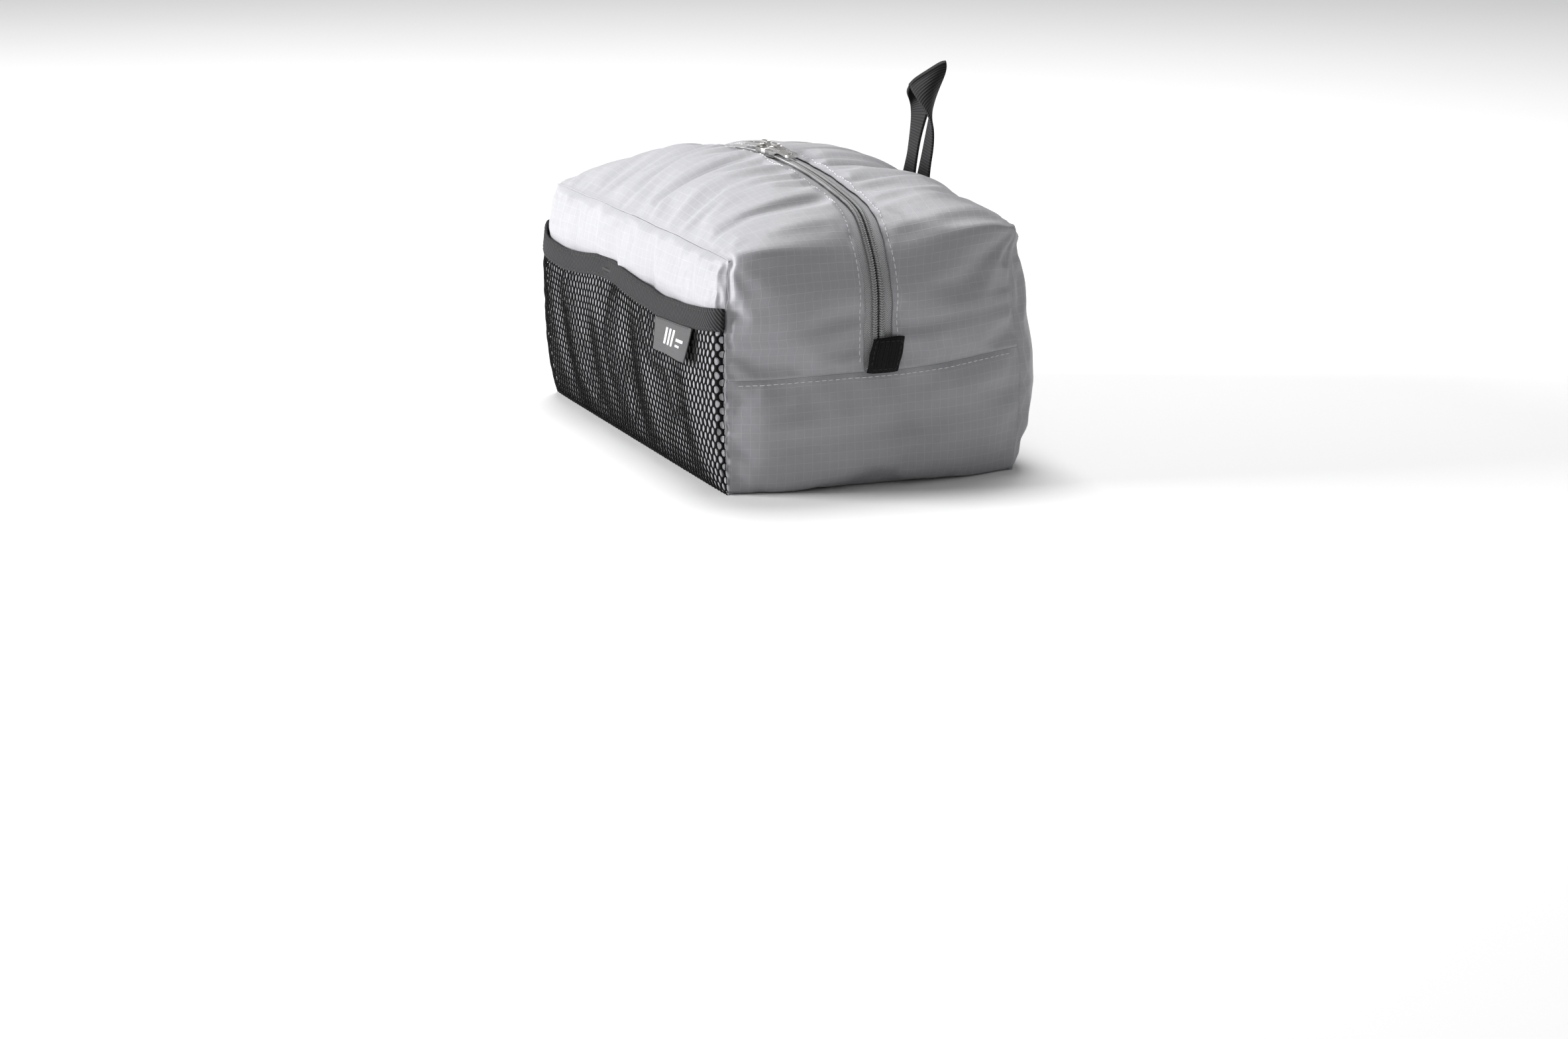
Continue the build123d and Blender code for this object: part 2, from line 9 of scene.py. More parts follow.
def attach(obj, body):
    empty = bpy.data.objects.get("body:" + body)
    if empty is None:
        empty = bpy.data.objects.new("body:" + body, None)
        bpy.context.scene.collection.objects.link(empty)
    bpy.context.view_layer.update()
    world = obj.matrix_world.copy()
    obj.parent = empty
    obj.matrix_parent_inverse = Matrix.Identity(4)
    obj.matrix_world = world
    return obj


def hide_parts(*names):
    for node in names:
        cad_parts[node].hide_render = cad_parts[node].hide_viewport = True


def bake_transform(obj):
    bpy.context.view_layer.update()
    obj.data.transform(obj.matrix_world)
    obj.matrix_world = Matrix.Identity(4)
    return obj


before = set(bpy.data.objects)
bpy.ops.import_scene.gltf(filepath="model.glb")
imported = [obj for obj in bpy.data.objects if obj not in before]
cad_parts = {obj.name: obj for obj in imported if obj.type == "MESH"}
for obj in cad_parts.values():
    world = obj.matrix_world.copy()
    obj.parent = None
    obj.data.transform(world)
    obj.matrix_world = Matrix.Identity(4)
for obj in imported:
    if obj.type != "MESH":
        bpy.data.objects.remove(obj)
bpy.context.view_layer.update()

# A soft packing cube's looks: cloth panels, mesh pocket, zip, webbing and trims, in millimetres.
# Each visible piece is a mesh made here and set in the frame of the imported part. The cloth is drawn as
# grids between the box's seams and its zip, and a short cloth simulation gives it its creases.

MM = 0.001

# ---- sizes, as in the part's design ----
HALF_L, HALF_D = 140.0, 80.0              # the box's corners
SEAM_HEIGHT = {-1: 122.0, 1: 129.0}       # top seam of the front (-1) and the back (1)
PANEL_BELLY = {-1: 9.2, 1: 16.0}
PANEL_SQUARE = {-1: (14.0, 0.5), 1: (8.0, 0.5)}  # how squarely each belly fills towards its sides
CORNER_OUT = (2.5, 2.5)                   # how far the upright seams bow out along x and y
END_REACH = 155.0
MID_SEAM = 62.0                           # height of the seam across each end, at the zip
MID_CORNER = {-1: 60.0, 1: 66.5}          # and where it meets the corners: it climbs to the back
RIDGE_RADIUS, RIDGE_TOP = 560.0, 153.0
RIDGE_CENTRE = RIDGE_TOP - RIDGE_RADIUS
SHOULDER_RADIUS = 45.0
SHOULDER_X = END_REACH - SHOULDER_RADIUS
SHOULDER_Z = RIDGE_CENTRE + math.sqrt((RIDGE_RADIUS - SHOULDER_RADIUS) ** 2 - SHOULDER_X ** 2)
SHOULDER_TURN = math.asin(SHOULDER_X / (RIDGE_RADIUS - SHOULDER_RADIUS))
FOOT_RADIUS = 12.0
RIDGE_LENGTH = RIDGE_RADIUS * SHOULDER_TURN
SHOULDER_LENGTH = SHOULDER_RADIUS * (math.pi / 2 - SHOULDER_TURN)
ZIP_LENGTH = RIDGE_LENGTH + SHOULDER_LENGTH + SHOULDER_Z - MID_SEAM   # from the middle to one tab's foot
FLAT_LEAN = {-1: 8.0, 1: 16.0}            # the top is less plump towards the left; degrees at its sewn edge
SLIT_HALF = 8.0                           # the cloth's folded edges stop this far from the zip's middle
STITCH_HALF = 10.3                        # the rows of topstitching beside it
TAPE_MIDDLE, TAPE_WIDTH = 6.5, 11.6
COIL_PITCH = 1.3
POCKET_FRONT, POCKET_BELLY = 81.3, 10.5     # the pocket's foot, and how far it bellies out from there
POCKET_TOP, POCKET_SAG = 97.4, 4.4
BINDING_WIDTH = 12.0
NET_PITCH, NET_THICKNESS = 4.25, 0.45
HOLE_WIDTH, HOLE_HEIGHT = 0.58, 0.8         # the net's holes, as shares of a cell's width and height
RIPSTOP_PITCH = 4.4
TAB_FOOT, TAB_HEIGHT = 61.9, 17.4
TAB_HALF, TAB_X, TAB_RIB = 8.5, 156.0, 1.3
HANDLE_X, HANDLE_Y = 6.0, 79.9
HANDLE_FOOT, HANDLE_RISE = 130.0, 64.0
WEB_WIDTH, WEB_THICKNESS = 20.0, 1.4

SIM_SCALE = 10.0                          # the cloth is simulated at ten times its size
SIM_FRAMES = 16
SIM_REACH = 3.5                           # no point of the cloth moves further than this
CLOTH_STEP = 3.4                          # spacing of the simulated grid
CLOTH_THICKNESS = 0.35


# ---- small helpers ----
def ripple(along, waves, seed):
    """A sum of sines with the given wavelengths, in mm, and amplitudes: irregular, and the same each run."""
    phases = np.random.default_rng(seed).uniform(0, 2 * math.pi, len(waves))
    return sum(a * np.sin(2 * math.pi * along / w + p) for (w, a), p in zip(waves, phases))


def eased(count):
    """Steps from 0 to 1 that crowd towards both ends."""
    t = np.linspace(0, 1, count)
    return t - 0.1 * np.sin(2 * math.pi * t)


def smooth(t):
    """Rises from 0 to 1 as t does, and starts and ends level."""
    t = np.clip(t, 0, 1)
    return t * t * (3 - 2 * t)


def bell(distance, width):
    """1 at no distance, dying away past width."""
    return np.exp(-(distance / width) ** 2)


def stacked(*parts):
    """Points, or places on the cloth, from an array or number for each coordinate."""
    return np.stack(np.broadcast_arrays(*parts), -1)


def unit(vectors):
    """The vectors at length 1."""
    return vectors / np.maximum(np.linalg.norm(vectors, axis=-1, keepdims=True), 1e-9)


def grid(rows, cols):
    """Two arrays that hold a grid's row values and its column values."""
    return np.meshgrid(rows, cols, indexing="ij")


def grid_faces(rows, cols, flip=False, closed=False):
    """Quads of a grid of points; closed joins the last column to the first."""
    faces = []
    for r in range(rows - 1):
        for c in range(cols if closed else cols - 1):
            d = (c + 1) % cols
            quad = (r * cols + c, r * cols + d, (r + 1) * cols + d, (r + 1) * cols + c)
            faces.append(quad[::-1] if flip else quad)
    return faces


def new_object(name, points, faces, material, cloth=None):
    """A mesh object from points in mm. cloth gives each point's place on the flat cloth, in mm."""
    mesh = bpy.data.meshes.new(name)
    mesh.from_pydata((np.asarray(points).reshape(-1, 3) * MM).tolist(), [], faces)
    if cloth is not None:
        flat = np.zeros((len(mesh.vertices), 3), np.float32)
        flat[:, :2] = np.asarray(cloth).reshape(-1, 2)
        mesh.attributes.new("cloth", "FLOAT_VECTOR", "POINT").data.foreach_set("vector", flat.ravel())
    mesh.shade_smooth()
    mesh.materials.append(material)
    obj = bpy.data.objects.new(name, mesh)
    bpy.context.scene.collection.objects.link(obj)
    return obj


def thicken(obj, thickness, levels=1, offset=-1.0):
    """Smooths a sheet and gives it a thickness, behind its face or (offset 0) to both sides of it."""
    if levels:
        subdivision = obj.modifiers.new("smooth", "SUBSURF")
        subdivision.levels = subdivision.render_levels = levels
    solid = obj.modifiers.new("thickness", "SOLIDIFY")
    solid.thickness = thickness * MM
    solid.offset = offset
    graph = bpy.context.evaluated_depsgraph_get()
    mesh = bpy.data.meshes.new_from_object(obj.evaluated_get(graph), depsgraph=graph)
    obj.modifiers.clear()
    obj.data = mesh


def halves(obj, names):
    """Splits obj at x = 0 into a right and a left object whose shading still agrees along the cut."""
    mesh = obj.data
    loops = np.array([loop.vertex_index for loop in mesh.loops])
    normals = np.array([tuple(n.vector) for n in mesh.corner_normals])
    co = np.array([v.co for v in mesh.vertices])
    cloth = np.zeros(len(co) * 3, np.float32)
    mesh.attributes["cloth"].data.foreach_get("vector", cloth)
    cloth = cloth.reshape(-1, 3)
    out = []
    for name, side in zip(names, (1, -1)):
        chosen = [p for p in mesh.polygons if p.center.x * side > 0]
        picked = np.concatenate([np.arange(p.loop_start, p.loop_start + p.loop_total) for p in chosen])
        used, index = np.unique(loops[picked], return_inverse=True)
        faces, at = [], 0
        for p in chosen:
            faces.append(tuple(int(i) for i in index[at:at + p.loop_total]))
            at += p.loop_total
        half = new_object(name, co[used] / MM, faces, mesh.materials[0], cloth[used, :2])
        half.data.normals_split_custom_set(normals[picked].tolist())
        out.append(half)
    bpy.data.objects.remove(obj)
    return out


def scatter(template, faces, origins, axes):
    """Copies a small shape to each origin; axes holds its three directions there. Returns points, faces."""
    count = len(template)
    points = origins[:, None, :] + np.einsum("pk,nkj->npj", template, axes)
    shift = np.arange(len(origins))[:, None, None] * count
    return points.reshape(-1, 3), (np.array(faces)[None] + shift).reshape(-1, len(faces[0])).tolist()


def bead(length, width, height):
    """A rounded eight-sided bead, long along its first axis, as points and quads."""
    points, rings = [], 5
    for r in range(rings):
        turn = math.pi * (0.06 + 0.88 * r / (rings - 1))
        for a in range(8):
            spin = 2 * math.pi * a / 8
            points.append((-length / 2 * math.cos(turn),
                           width / 2 * math.sin(turn) ** 0.6 * math.cos(spin),
                           height / 2 * math.sin(turn) ** 0.6 * math.sin(spin)))
    caps = [(0, 1, 2, 3), (0, 3, 4, 7), (4, 5, 6, 7)]
    last = 8 * (rings - 1)
    faces = grid_faces(rings, 8, closed=True) + [quad[::-1] for quad in caps]
    return np.array(points), faces + [tuple(last + i for i in quad) for quad in caps]


# ---- materials ----
class Shader:
    """A Principled material with helpers for patterns that follow the flat cloth or the object."""

    def __init__(self, name, colour, roughness, **sockets):
        self.material = bpy.data.materials.new(name)
        self.material.use_nodes = True
        self.tree = self.material.node_tree
        self.shader = self.tree.nodes["Principled BSDF"]
        self.shader.inputs["Base Color"].default_value = (*colour, 1)
        self.shader.inputs["Roughness"].default_value = roughness
        for socket, value in sockets.items():
            self.shader.inputs[socket.replace("_", " ")].default_value = value
        self.height = None

    def node(self, kind, **inputs):
        """A new node with values or links on its inputs."""
        made = self.tree.nodes.new(kind)
        for key, value in inputs.items():
            self.feed(made.inputs[key], value)
        return made

    def feed(self, socket, value):
        """Links value to the socket, or sets it there."""
        if isinstance(value, bpy.types.NodeSocket):
            self.tree.links.new(value, socket)
        else:
            socket.default_value = value

    def maths(self, operation, a, b=0.0, c=0.0):
        """The result of one Math node."""
        made = self.tree.nodes.new("ShaderNodeMath")
        made.operation = operation
        for socket, value in zip(made.inputs, (a, b, c)):
            self.feed(socket, value)
        return made.outputs[0]

    def place(self):
        """Where the point lies on the flat cloth, in mm, as x and y."""
        source = self.tree.nodes.new("ShaderNodeAttribute")
        source.attribute_name = "cloth"
        split = self.node("ShaderNodeSeparateXYZ", Vector=source.outputs["Vector"])
        return source.outputs["Vector"], split.outputs[0], split.outputs[1]

    def space(self):
        """The point's place in the object's own space, in metres."""
        return self.tree.nodes.new("ShaderNodeTexCoord").outputs["Object"]

    def wave(self, along, pitch, power=1.0):
        """A row of rounded ridges from 0 to 1, one each pitch."""
        turn = self.maths("MULTIPLY", along, 2 * math.pi / pitch)
        ridge = self.maths("MULTIPLY_ADD", self.maths("COSINE", turn), 0.5, 0.5)
        return self.maths("POWER", ridge, power) if power != 1.0 else ridge

    def noise(self, vector, scale, detail=2.0):
        """Smooth noise from 0 to 1."""
        made = self.node("ShaderNodeTexNoise", Vector=vector, Scale=scale, Detail=detail)
        return made.outputs["Fac"]

    def mix(self, factor, low, high):
        """A colour from low to high by factor."""
        made = self.tree.nodes.new("ShaderNodeMix")
        made.data_type = "RGBA"
        self.feed(made.inputs["Factor"], factor)
        for socket, value in ((made.inputs[6], low), (made.inputs[7], high)):
            self.feed(socket, (*value, 1) if isinstance(value, tuple) else value)
        return made.outputs[2]

    def tint(self, factor, low, high):
        """Colours the surface from low to high by factor."""
        self.tree.links.new(self.mix(factor, low, high), self.shader.inputs["Base Color"])

    def bump(self, height, distance, strength):
        """Adds relief, in mm, on top of any that is there."""
        made = self.node("ShaderNodeBump", Height=height, Distance=distance * MM, Strength=strength)
        if self.height is not None:
            self.tree.links.new(self.height, made.inputs["Normal"])
        self.height = made.outputs["Normal"]
        self.tree.links.new(self.height, self.shader.inputs["Normal"])
        return self

    def rough(self, factor, low, high):
        """Spreads the roughness from low to high by factor."""
        spread = self.maths("MULTIPLY_ADD", factor, high - low, low)
        self.tree.links.new(spread, self.shader.inputs["Roughness"])


def ripstop_material():
    """Light grey ripstop: a fine weave with a thin raised thread at every pitch, each way."""
    m = Shader("ripstop", (0.29, 0.29, 0.31), 0.5, Sheen_Weight=0.2, Sheen_Roughness=0.4,
               Specular_IOR_Level=0.4)
    where, u, v = m.place()
    threads = m.maths("MAXIMUM", m.wave(u, RIPSTOP_PITCH, 60), m.wave(v, RIPSTOP_PITCH, 60))
    weave = m.maths("MULTIPLY", m.wave(u, 0.42), m.wave(v, 0.42))
    blotch = m.noise(where, 0.02, 3)
    shade = m.mix(blotch, (0.255, 0.255, 0.272), (0.315, 0.315, 0.333))
    m.tint(m.maths("MULTIPLY", threads, 0.22), shade, (0.5, 0.5, 0.52))
    m.bump(weave, 0.05, 0.6).bump(threads, 0.05, 0.8).bump(m.noise(where, 0.35, 4), 0.12, 0.5)
    m.rough(m.noise(where, 0.3, 2), 0.42, 0.6)
    return m.material


def tape_material(name, colour, pitch=1.1, fold=1.6, gloss=0.3, depth=0.16, contrast=(0.55, 1.35)):
    """Woven tape: slanting rows that turn back every fold mm, so a wide fold leaves them all one way."""
    m = Shader(name, colour, 0.8, Specular_IOR_Level=gloss)
    where, u, v = m.place()
    lean = m.maths("PINGPONG", m.maths("ADD", v, 0.5 * fold), fold)
    rows = m.wave(m.maths("ADD", u, lean), pitch)
    dark, light = (tuple(share * c for c in colour) for share in contrast)
    m.tint(m.maths("MULTIPLY", rows, m.maths("MULTIPLY_ADD", m.noise(where, 1.2), 0.8, 0.4)), dark, light)
    m.bump(rows, depth, 0.9).bump(m.noise(where, 3.0, 3), 0.08, 0.5)
    return m.material


def webbing_material(name, colour):
    """Ribbed webbing: strong ribs across it, fine yarns along it."""
    m = Shader(name, colour, 0.66, Specular_IOR_Level=0.22)
    _, u, v = m.place()
    ribs = m.wave(u, 1.6)
    yarns = m.wave(m.maths("ADD", v, m.maths("MULTIPLY", ribs, 0.2)), 0.7)
    dark = tuple(0.3 * c for c in colour)
    light = tuple(2.8 * c for c in colour)
    m.tint(m.maths("MULTIPLY", ribs, m.maths("MULTIPLY_ADD", yarns, 0.6, 0.4)), dark, light)
    m.bump(ribs, 0.22, 0.8).bump(yarns, 0.08, 0.7)
    return m.material


def plain_yarn(name, colour, roughness, grain=2.0, gloss=0.3):
    """Yarn or moulded filament, with a fine grain in the object's own space."""
    m = Shader(name, colour, roughness, Specular_IOR_Level=gloss)
    where = m.space()
    grains = m.noise(where, grain / MM, 3)
    m.tint(grains, tuple(0.7 * c for c in colour), tuple(min(1.0, 1.3 * c) for c in colour))
    m.bump(grains, 0.08, 0.5)
    return m.material


def metal_material():
    """Bright nickel plate, a little worn."""
    m = Shader("nickel", (0.78, 0.77, 0.75), 0.2, Metallic=1.0)
    where = m.space()
    wear = m.noise(where, 0.35 / MM, 4)
    m.tint(wear, (0.66, 0.65, 0.63), (0.86, 0.85, 0.83))
    m.rough(wear, 0.12, 0.34)
    m.bump(m.noise(where, 2.5 / MM, 2), 0.02, 0.4)
    return m.material


def floor_material():
    """Plain pale studio floor."""
    m = Shader("studio_floor", (0.86, 0.86, 0.86), 0.55, Specular_IOR_Level=0.2)
    where = m.space()
    m.tint(m.noise(where, 3.0, 3), (0.85, 0.85, 0.85), (0.88, 0.88, 0.88))
    return m.material


FABRIC = ripstop_material()
ZIP_TAPE = tape_material("zip_tape", (0.39, 0.39, 0.40))
BINDING = tape_material("pocket_binding", (0.032, 0.032, 0.034), 2.2, 30.0, 0.15, 0.3, (0.2, 1.6))
SEAM_TAPE = tape_material("seam_tape", (0.16, 0.16, 0.17), 1.3)
WEBBING = webbing_material("webbing", (0.012, 0.012, 0.013))
TAB_WEB = webbing_material("tab_webbing", (0.001, 0.001, 0.001))
LABEL = tape_material("label_cloth", (0.11, 0.11, 0.113), 0.5, 1.6, 0.15)
COIL = plain_yarn("zip_coil", (0.27, 0.27, 0.275), 0.28, gloss=0.6)
NET = plain_yarn("pocket_net", (0.003, 0.003, 0.0033), 0.75, gloss=0.08)
THREAD = plain_yarn("light_thread", (0.62, 0.62, 0.64), 0.6, 4.0)
DARK_THREAD = plain_yarn("dark_thread", (0.02, 0.02, 0.02), 0.6, 4.0)
NICKEL = metal_material()


# ---- the box's lines ----
def zip_path(s):
    """Place (x, z) and outward direction of the zip's line, s mm from the middle towards +x."""
    side, a = np.sign(s), np.abs(s)
    turn = np.minimum(a / RIDGE_RADIUS, SHOULDER_TURN)
    turn = turn + np.clip(a - RIDGE_LENGTH, 0, SHOULDER_LENGTH) / SHOULDER_RADIUS
    down = np.maximum(a - RIDGE_LENGTH - SHOULDER_LENGTH, 0)
    on_ridge = a <= RIDGE_LENGTH
    x = np.where(on_ridge, RIDGE_RADIUS * np.sin(turn), SHOULDER_X + SHOULDER_RADIUS * np.sin(turn))
    z = np.where(on_ridge, RIDGE_CENTRE + RIDGE_RADIUS * np.cos(turn),
                 SHOULDER_Z + SHOULDER_RADIUS * np.cos(turn) - down)
    return side * x, z, side * np.sin(turn), np.cos(turn)


def zip_drift(s):
    """The zip strays towards the front on its way down the right end."""
    return -3.8 * smooth((s - 106) / 46)


def slit_edge(s, side):
    """Where the cloth's folded edge runs beside the zip, in y; it wanders a little."""
    return zip_drift(s) + side * (SLIT_HALF + ripple(s, [(41, 0.3), (17, 0.22)], 20 + side))


def corner_line(z, height):
    """The upright seam at a corner: how far out it stands along x and y at height z."""
    bow = 4 * (z / height) * (1 - z / height)
    wander = ripple(z, [(14, 0.45), (8.5, 0.35)], int(height)) * np.sqrt(bow.clip(0))
    side = 1 if height > 125 else -1
    tuck = 4.5 * smooth((z - 55) / 30) * smooth((height - z) / 16) * (side > 0)
    return HALF_L + CORNER_OUT[0] * bow + wander, HALF_D + CORNER_OUT[1] * bow - wander - tuck


def top_seam_line(x, side):
    """The long top seam of the front or back: its distance from the middle, and its height."""
    slack = ripple(x, [(61, 0.35), (23, 0.12), (9, 0.05)], 31 + side)
    fade = smooth((HALF_L - np.abs(x)) / 12)
    return HALF_D + 0.8 * slack * fade, SEAM_HEIGHT[side] + slack * fade + 1.2 * (1 - (x / HALF_L) ** 2)


def outer_line(o, side):
    """The strip's sewn edge, o mm from the middle: along the top seam, then down a corner."""
    height = SEAM_HEIGHT[side]
    end, a = np.sign(o), np.abs(o)
    z = np.minimum(height, height - (a - HALF_L))
    cx, cy = corner_line(np.clip(z, 0, height), height)
    ty, tz = top_seam_line(np.clip(o, -HALF_L, HALF_L), side)
    flat = a <= HALF_L
    return stacked(np.where(flat, o, end * cx), side * np.where(flat, ty, cy), np.where(flat, tz, z))


def across(outer, inner, normal, lean, v):
    """A rounded run of cloth from outer to inner: it leaves outer leaning out and arrives level."""
    chord = np.linalg.norm(inner - outer, axis=-1, keepdims=True)
    level = np.zeros_like(outer)
    level[..., 1] = np.sign(inner[..., 1] - outer[..., 1])
    start = outer + 0.36 * chord * (level * np.cos(lean) + normal * np.sin(lean))
    finish = inner - 0.40 * chord * level
    return ((1 - v) ** 3 * outer + 3 * (1 - v) ** 2 * v * start + 3 * (1 - v) * v ** 2 * finish
            + v ** 3 * inner)


CORNER_S = RIDGE_LENGTH + 0.48 * SHOULDER_LENGTH     # the zip's point opposite the top corner


def strip_surface(s, v, side):
    """A top strip's smooth surface: s mm along the zip, v from the sewn edge (0) to the zip (1)."""
    height = SEAM_HEIGHT[side]
    a = np.abs(s)
    beyond = HALF_L + (a - CORNER_S) / (ZIP_LENGTH - CORNER_S) * (height - MID_CORNER[side])
    o = np.sign(s) * np.where(a < CORNER_S, a / CORNER_S * HALF_L, beyond)
    x, z, nx, nz = zip_path(s)
    inner = stacked(x, slit_edge(s, side), z)
    normal = stacked(nx, np.zeros_like(nx), nz)
    plump = FLAT_LEAN[side] + (28 - FLAT_LEAN[side]) * smooth((s + 80) / 100)
    lean = np.radians(20 + plump * nz)[..., None]
    return across(outer_line(o, side), inner, normal, lean, v[..., None])


def grid_normals(points):
    """A grid's directions outward from its face, one at each point."""
    along = np.gradient(points, axis=0)
    over = np.gradient(points, axis=1)
    return unit(np.cross(along, over))


def pucker(distance, along, seed, groove=0.0):
    """Gathers beside a seam: a groove at the stitching and uneven swells just off it."""
    swell = bell(distance, 9.0) * (1 - bell(distance, 2.5))
    swell = swell * ripple(along, [(12.5, 0.5), (7.3, 0.38), (23, 0.45)], seed)
    return swell - groove * bell(distance, 2.0) * (distance > 0.01)


def gathers(over, down, depth, seed):
    """Folds that fan out from a corner, over and down being distances from it; they die away in 60 mm."""
    far = np.hypot(over, down)
    turn = np.arctan2(down, over)
    fan = ripple(turn, [(0.52, 0.6), (0.83, 0.5)], seed)
    return depth * (1 - bell(far, 6)) * np.exp(-far / 24) * fan


def relax(points, held, growth, give):
    """Lets cloth a little too large for its held points crease; give says how far each point follows."""
    rows, cols, _ = points.shape
    mesh = bpy.data.meshes.new("work")
    mesh.from_pydata((points.reshape(-1, 3) * MM * SIM_SCALE).tolist(), [], grid_faces(rows, cols))
    obj = bpy.data.objects.new("work", mesh)
    bpy.context.scene.collection.objects.link(obj)
    group = obj.vertex_groups.new(name="held")
    group.add([int(i) for i in np.flatnonzero(held.ravel())], 1.0, "REPLACE")
    settings = obj.modifiers.new("cloth", "CLOTH").settings
    settings.vertex_group_mass = "held"
    settings.quality = 6
    settings.mass = 0.25
    settings.tension_stiffness = settings.compression_stiffness = 18
    settings.shear_stiffness = 6
    settings.bending_stiffness = 0.6
    settings.air_damping = 3
    settings.shrink_min = -growth
    settings.effector_weights.gravity = 0
    scene = bpy.context.scene
    for number in range(1, SIM_FRAMES + 1):
        scene.frame_set(number)
    graph = bpy.context.evaluated_depsgraph_get()
    result = obj.evaluated_get(graph).data
    moved = np.array([v.co for v in result.vertices]).reshape(points.shape) / MM / SIM_SCALE
    bpy.data.objects.remove(obj)
    scene.frame_set(1)
    step = moved - points
    size = np.linalg.norm(step, axis=-1, keepdims=True)
    return points + step * np.minimum(1, SIM_REACH / np.maximum(size, 1e-9)) * give[..., None]


def border(rows, cols):
    """True on the four edges of a grid."""
    mask = np.ones((rows, cols), bool)
    mask[1:-1, 1:-1] = False
    return mask


# ---- cloth panels ----
def strip_grid(side):
    """The simulated points of a top strip, with s down the rows and v across, and their cloth places."""
    rows = 2 * int(ZIP_LENGTH / CLOTH_STEP) + 1
    cols = 34
    s, v = grid(np.linspace(-ZIP_LENGTH, ZIP_LENGTH, rows), eased(cols))
    base = strip_surface(s, v, side)
    normals = -side * grid_normals(base)
    width = np.linalg.norm(np.diff(base, axis=1), axis=-1)
    from_seam = np.concatenate([np.zeros((rows, 1)), np.cumsum(width, axis=1)], axis=1)
    from_zip = from_seam[:, -1:] - from_seam
    fan = s + 0.10 * side * from_zip + 3 * np.sin(s / 31)
    envelope = (1 - bell(from_zip, 7)) * bell(from_zip, 58)
    top = (0.35 + 0.65 * smooth((165 - np.abs(s)) / 60)) * (0.45 + 0.55 * smooth((s + 90) / 70))
    folds = ripple(fan, [(16.5, 0.9), (25, 1.0), (10.5, 0.4), (43, 0.8)], 40 + side)
    swell = np.sin(math.pi * v) * ripple(s + 0.5 * from_zip, [(71, 1.0), (117, 1.0)], 50 + side)
    tight = 0.45 + 0.55 * smooth((np.abs(s) - 90) / 30)
    lift = envelope * top * folds + 0.9 * swell + tight * pucker(from_seam, s, 60 + side, 0.8)
    lift = lift + gathers(np.abs(s) - CORNER_S, from_seam, 1.4 + 0.6 * side, 64 + side)
    hold = smooth(v / 0.04) * smooth((1 - v) / 0.05) * smooth((ZIP_LENGTH - np.abs(s)) / 6)
    points = base + normals * (lift * hold)[..., None]
    calm = 4 + 10 * smooth((CORNER_S - np.abs(s)) / 14)
    points = relax(points, border(rows, cols), 0.03, smooth(from_seam / calm))
    # The zip's tape holds up the cloth next to it, and each end laps a little over the bottom band.
    sunk = -((points - base) * normals).sum(axis=-1)
    points = points + normals * ((sunk - 0.4).clip(0) * (from_zip < 6))[..., None]
    points[[0, -1], :, 2] += 0.3
    return points, stacked(s, from_seam)


def front_folds(x, z):
    """Two folds of the front panel: a tuck beside the right corner, and one rising from the bar tack."""
    tuck = 2.2 * bell(x - 136.4, 1.7) * smooth((z - 78) / 25)
    line = x - 6 - 0.5 * (z - 97)
    rising = 1.1 * bell(line, 2.4) * smooth((z - 86) / 8) * smooth((115 - z) / 10)
    return tuck + rising


def long_panel_grid(side):
    """The front or back panel: x down the rows, height across."""
    height, belly = SEAM_HEIGHT[side], PANEL_BELLY[side]
    rows, cols = 2 * int(HALF_L / CLOTH_STEP) + 1, int(height / CLOTH_STEP)
    u, w = grid(2 * eased(rows) - 1, eased(cols))
    cx, cy = corner_line(w * height, height)
    ty, tz = top_seam_line(u * HALF_L, side)
    x = u * cx
    z = w * tz
    square, fill = PANEL_SQUARE[side]
    full = (1 - np.abs(u) ** square) ** fill * np.sin(math.pi * w).clip(0) ** 0.37
    y = HALF_D + (ty - HALF_D) * w + (cy - HALF_D) * np.abs(u) ** 4 + belly * full
    points = stacked(x, side * y, z)
    normals = -side * grid_normals(points)
    edge = np.minimum(HALF_L - np.abs(x), np.minimum(z, height - z)).clip(0)
    from_top, from_side = (height - z).clip(0), (HALF_L - np.abs(x)).clip(0)
    fall = ripple(x + 4 * np.sin(z / 17), [(19, 0.5), (31, 0.7), (12, 0.25)], 70 + side)
    lift = fall * bell(from_top, 34) + 0.9 * np.sin(math.pi * w) * ripple(x + z, [(83, 1.0)], 71)
    lift = lift + pucker(from_side, z, 72 + side) + 0.4 * pucker(from_top, x, 74 + side)
    lift = lift + gathers(from_side, from_top, 1.7 + 0.5 * side, 76 + side)
    creases = ripple(x + 0.2 * from_top, [(5.3, 0.16), (8.1, 0.22), (3.7, 0.1)], 78)
    lift = lift + creases * bell(from_top, 13) * (0.4 + 0.6 * np.sin(x / 23) ** 2)
    if side < 0:
        lift = lift + front_folds(x, z)
    hold = smooth(edge / 5)
    points = points + normals * ((lift * hold) - 0.8 * bell(edge, 2) * (edge > 0.01))[..., None]
    held = border(rows, cols)
    points = relax(points, held, 0.022, smooth(from_top / 14))
    if side < 0:
        net = pocket_y(points[..., 0], points[..., 2]) - 1.6
        behind = np.where(points[..., 2] < 95, np.minimum(-points[..., 1], net), -points[..., 1])
        points[..., 1] = np.where(held, points[..., 1], -behind)
    return points, stacked(x, z)


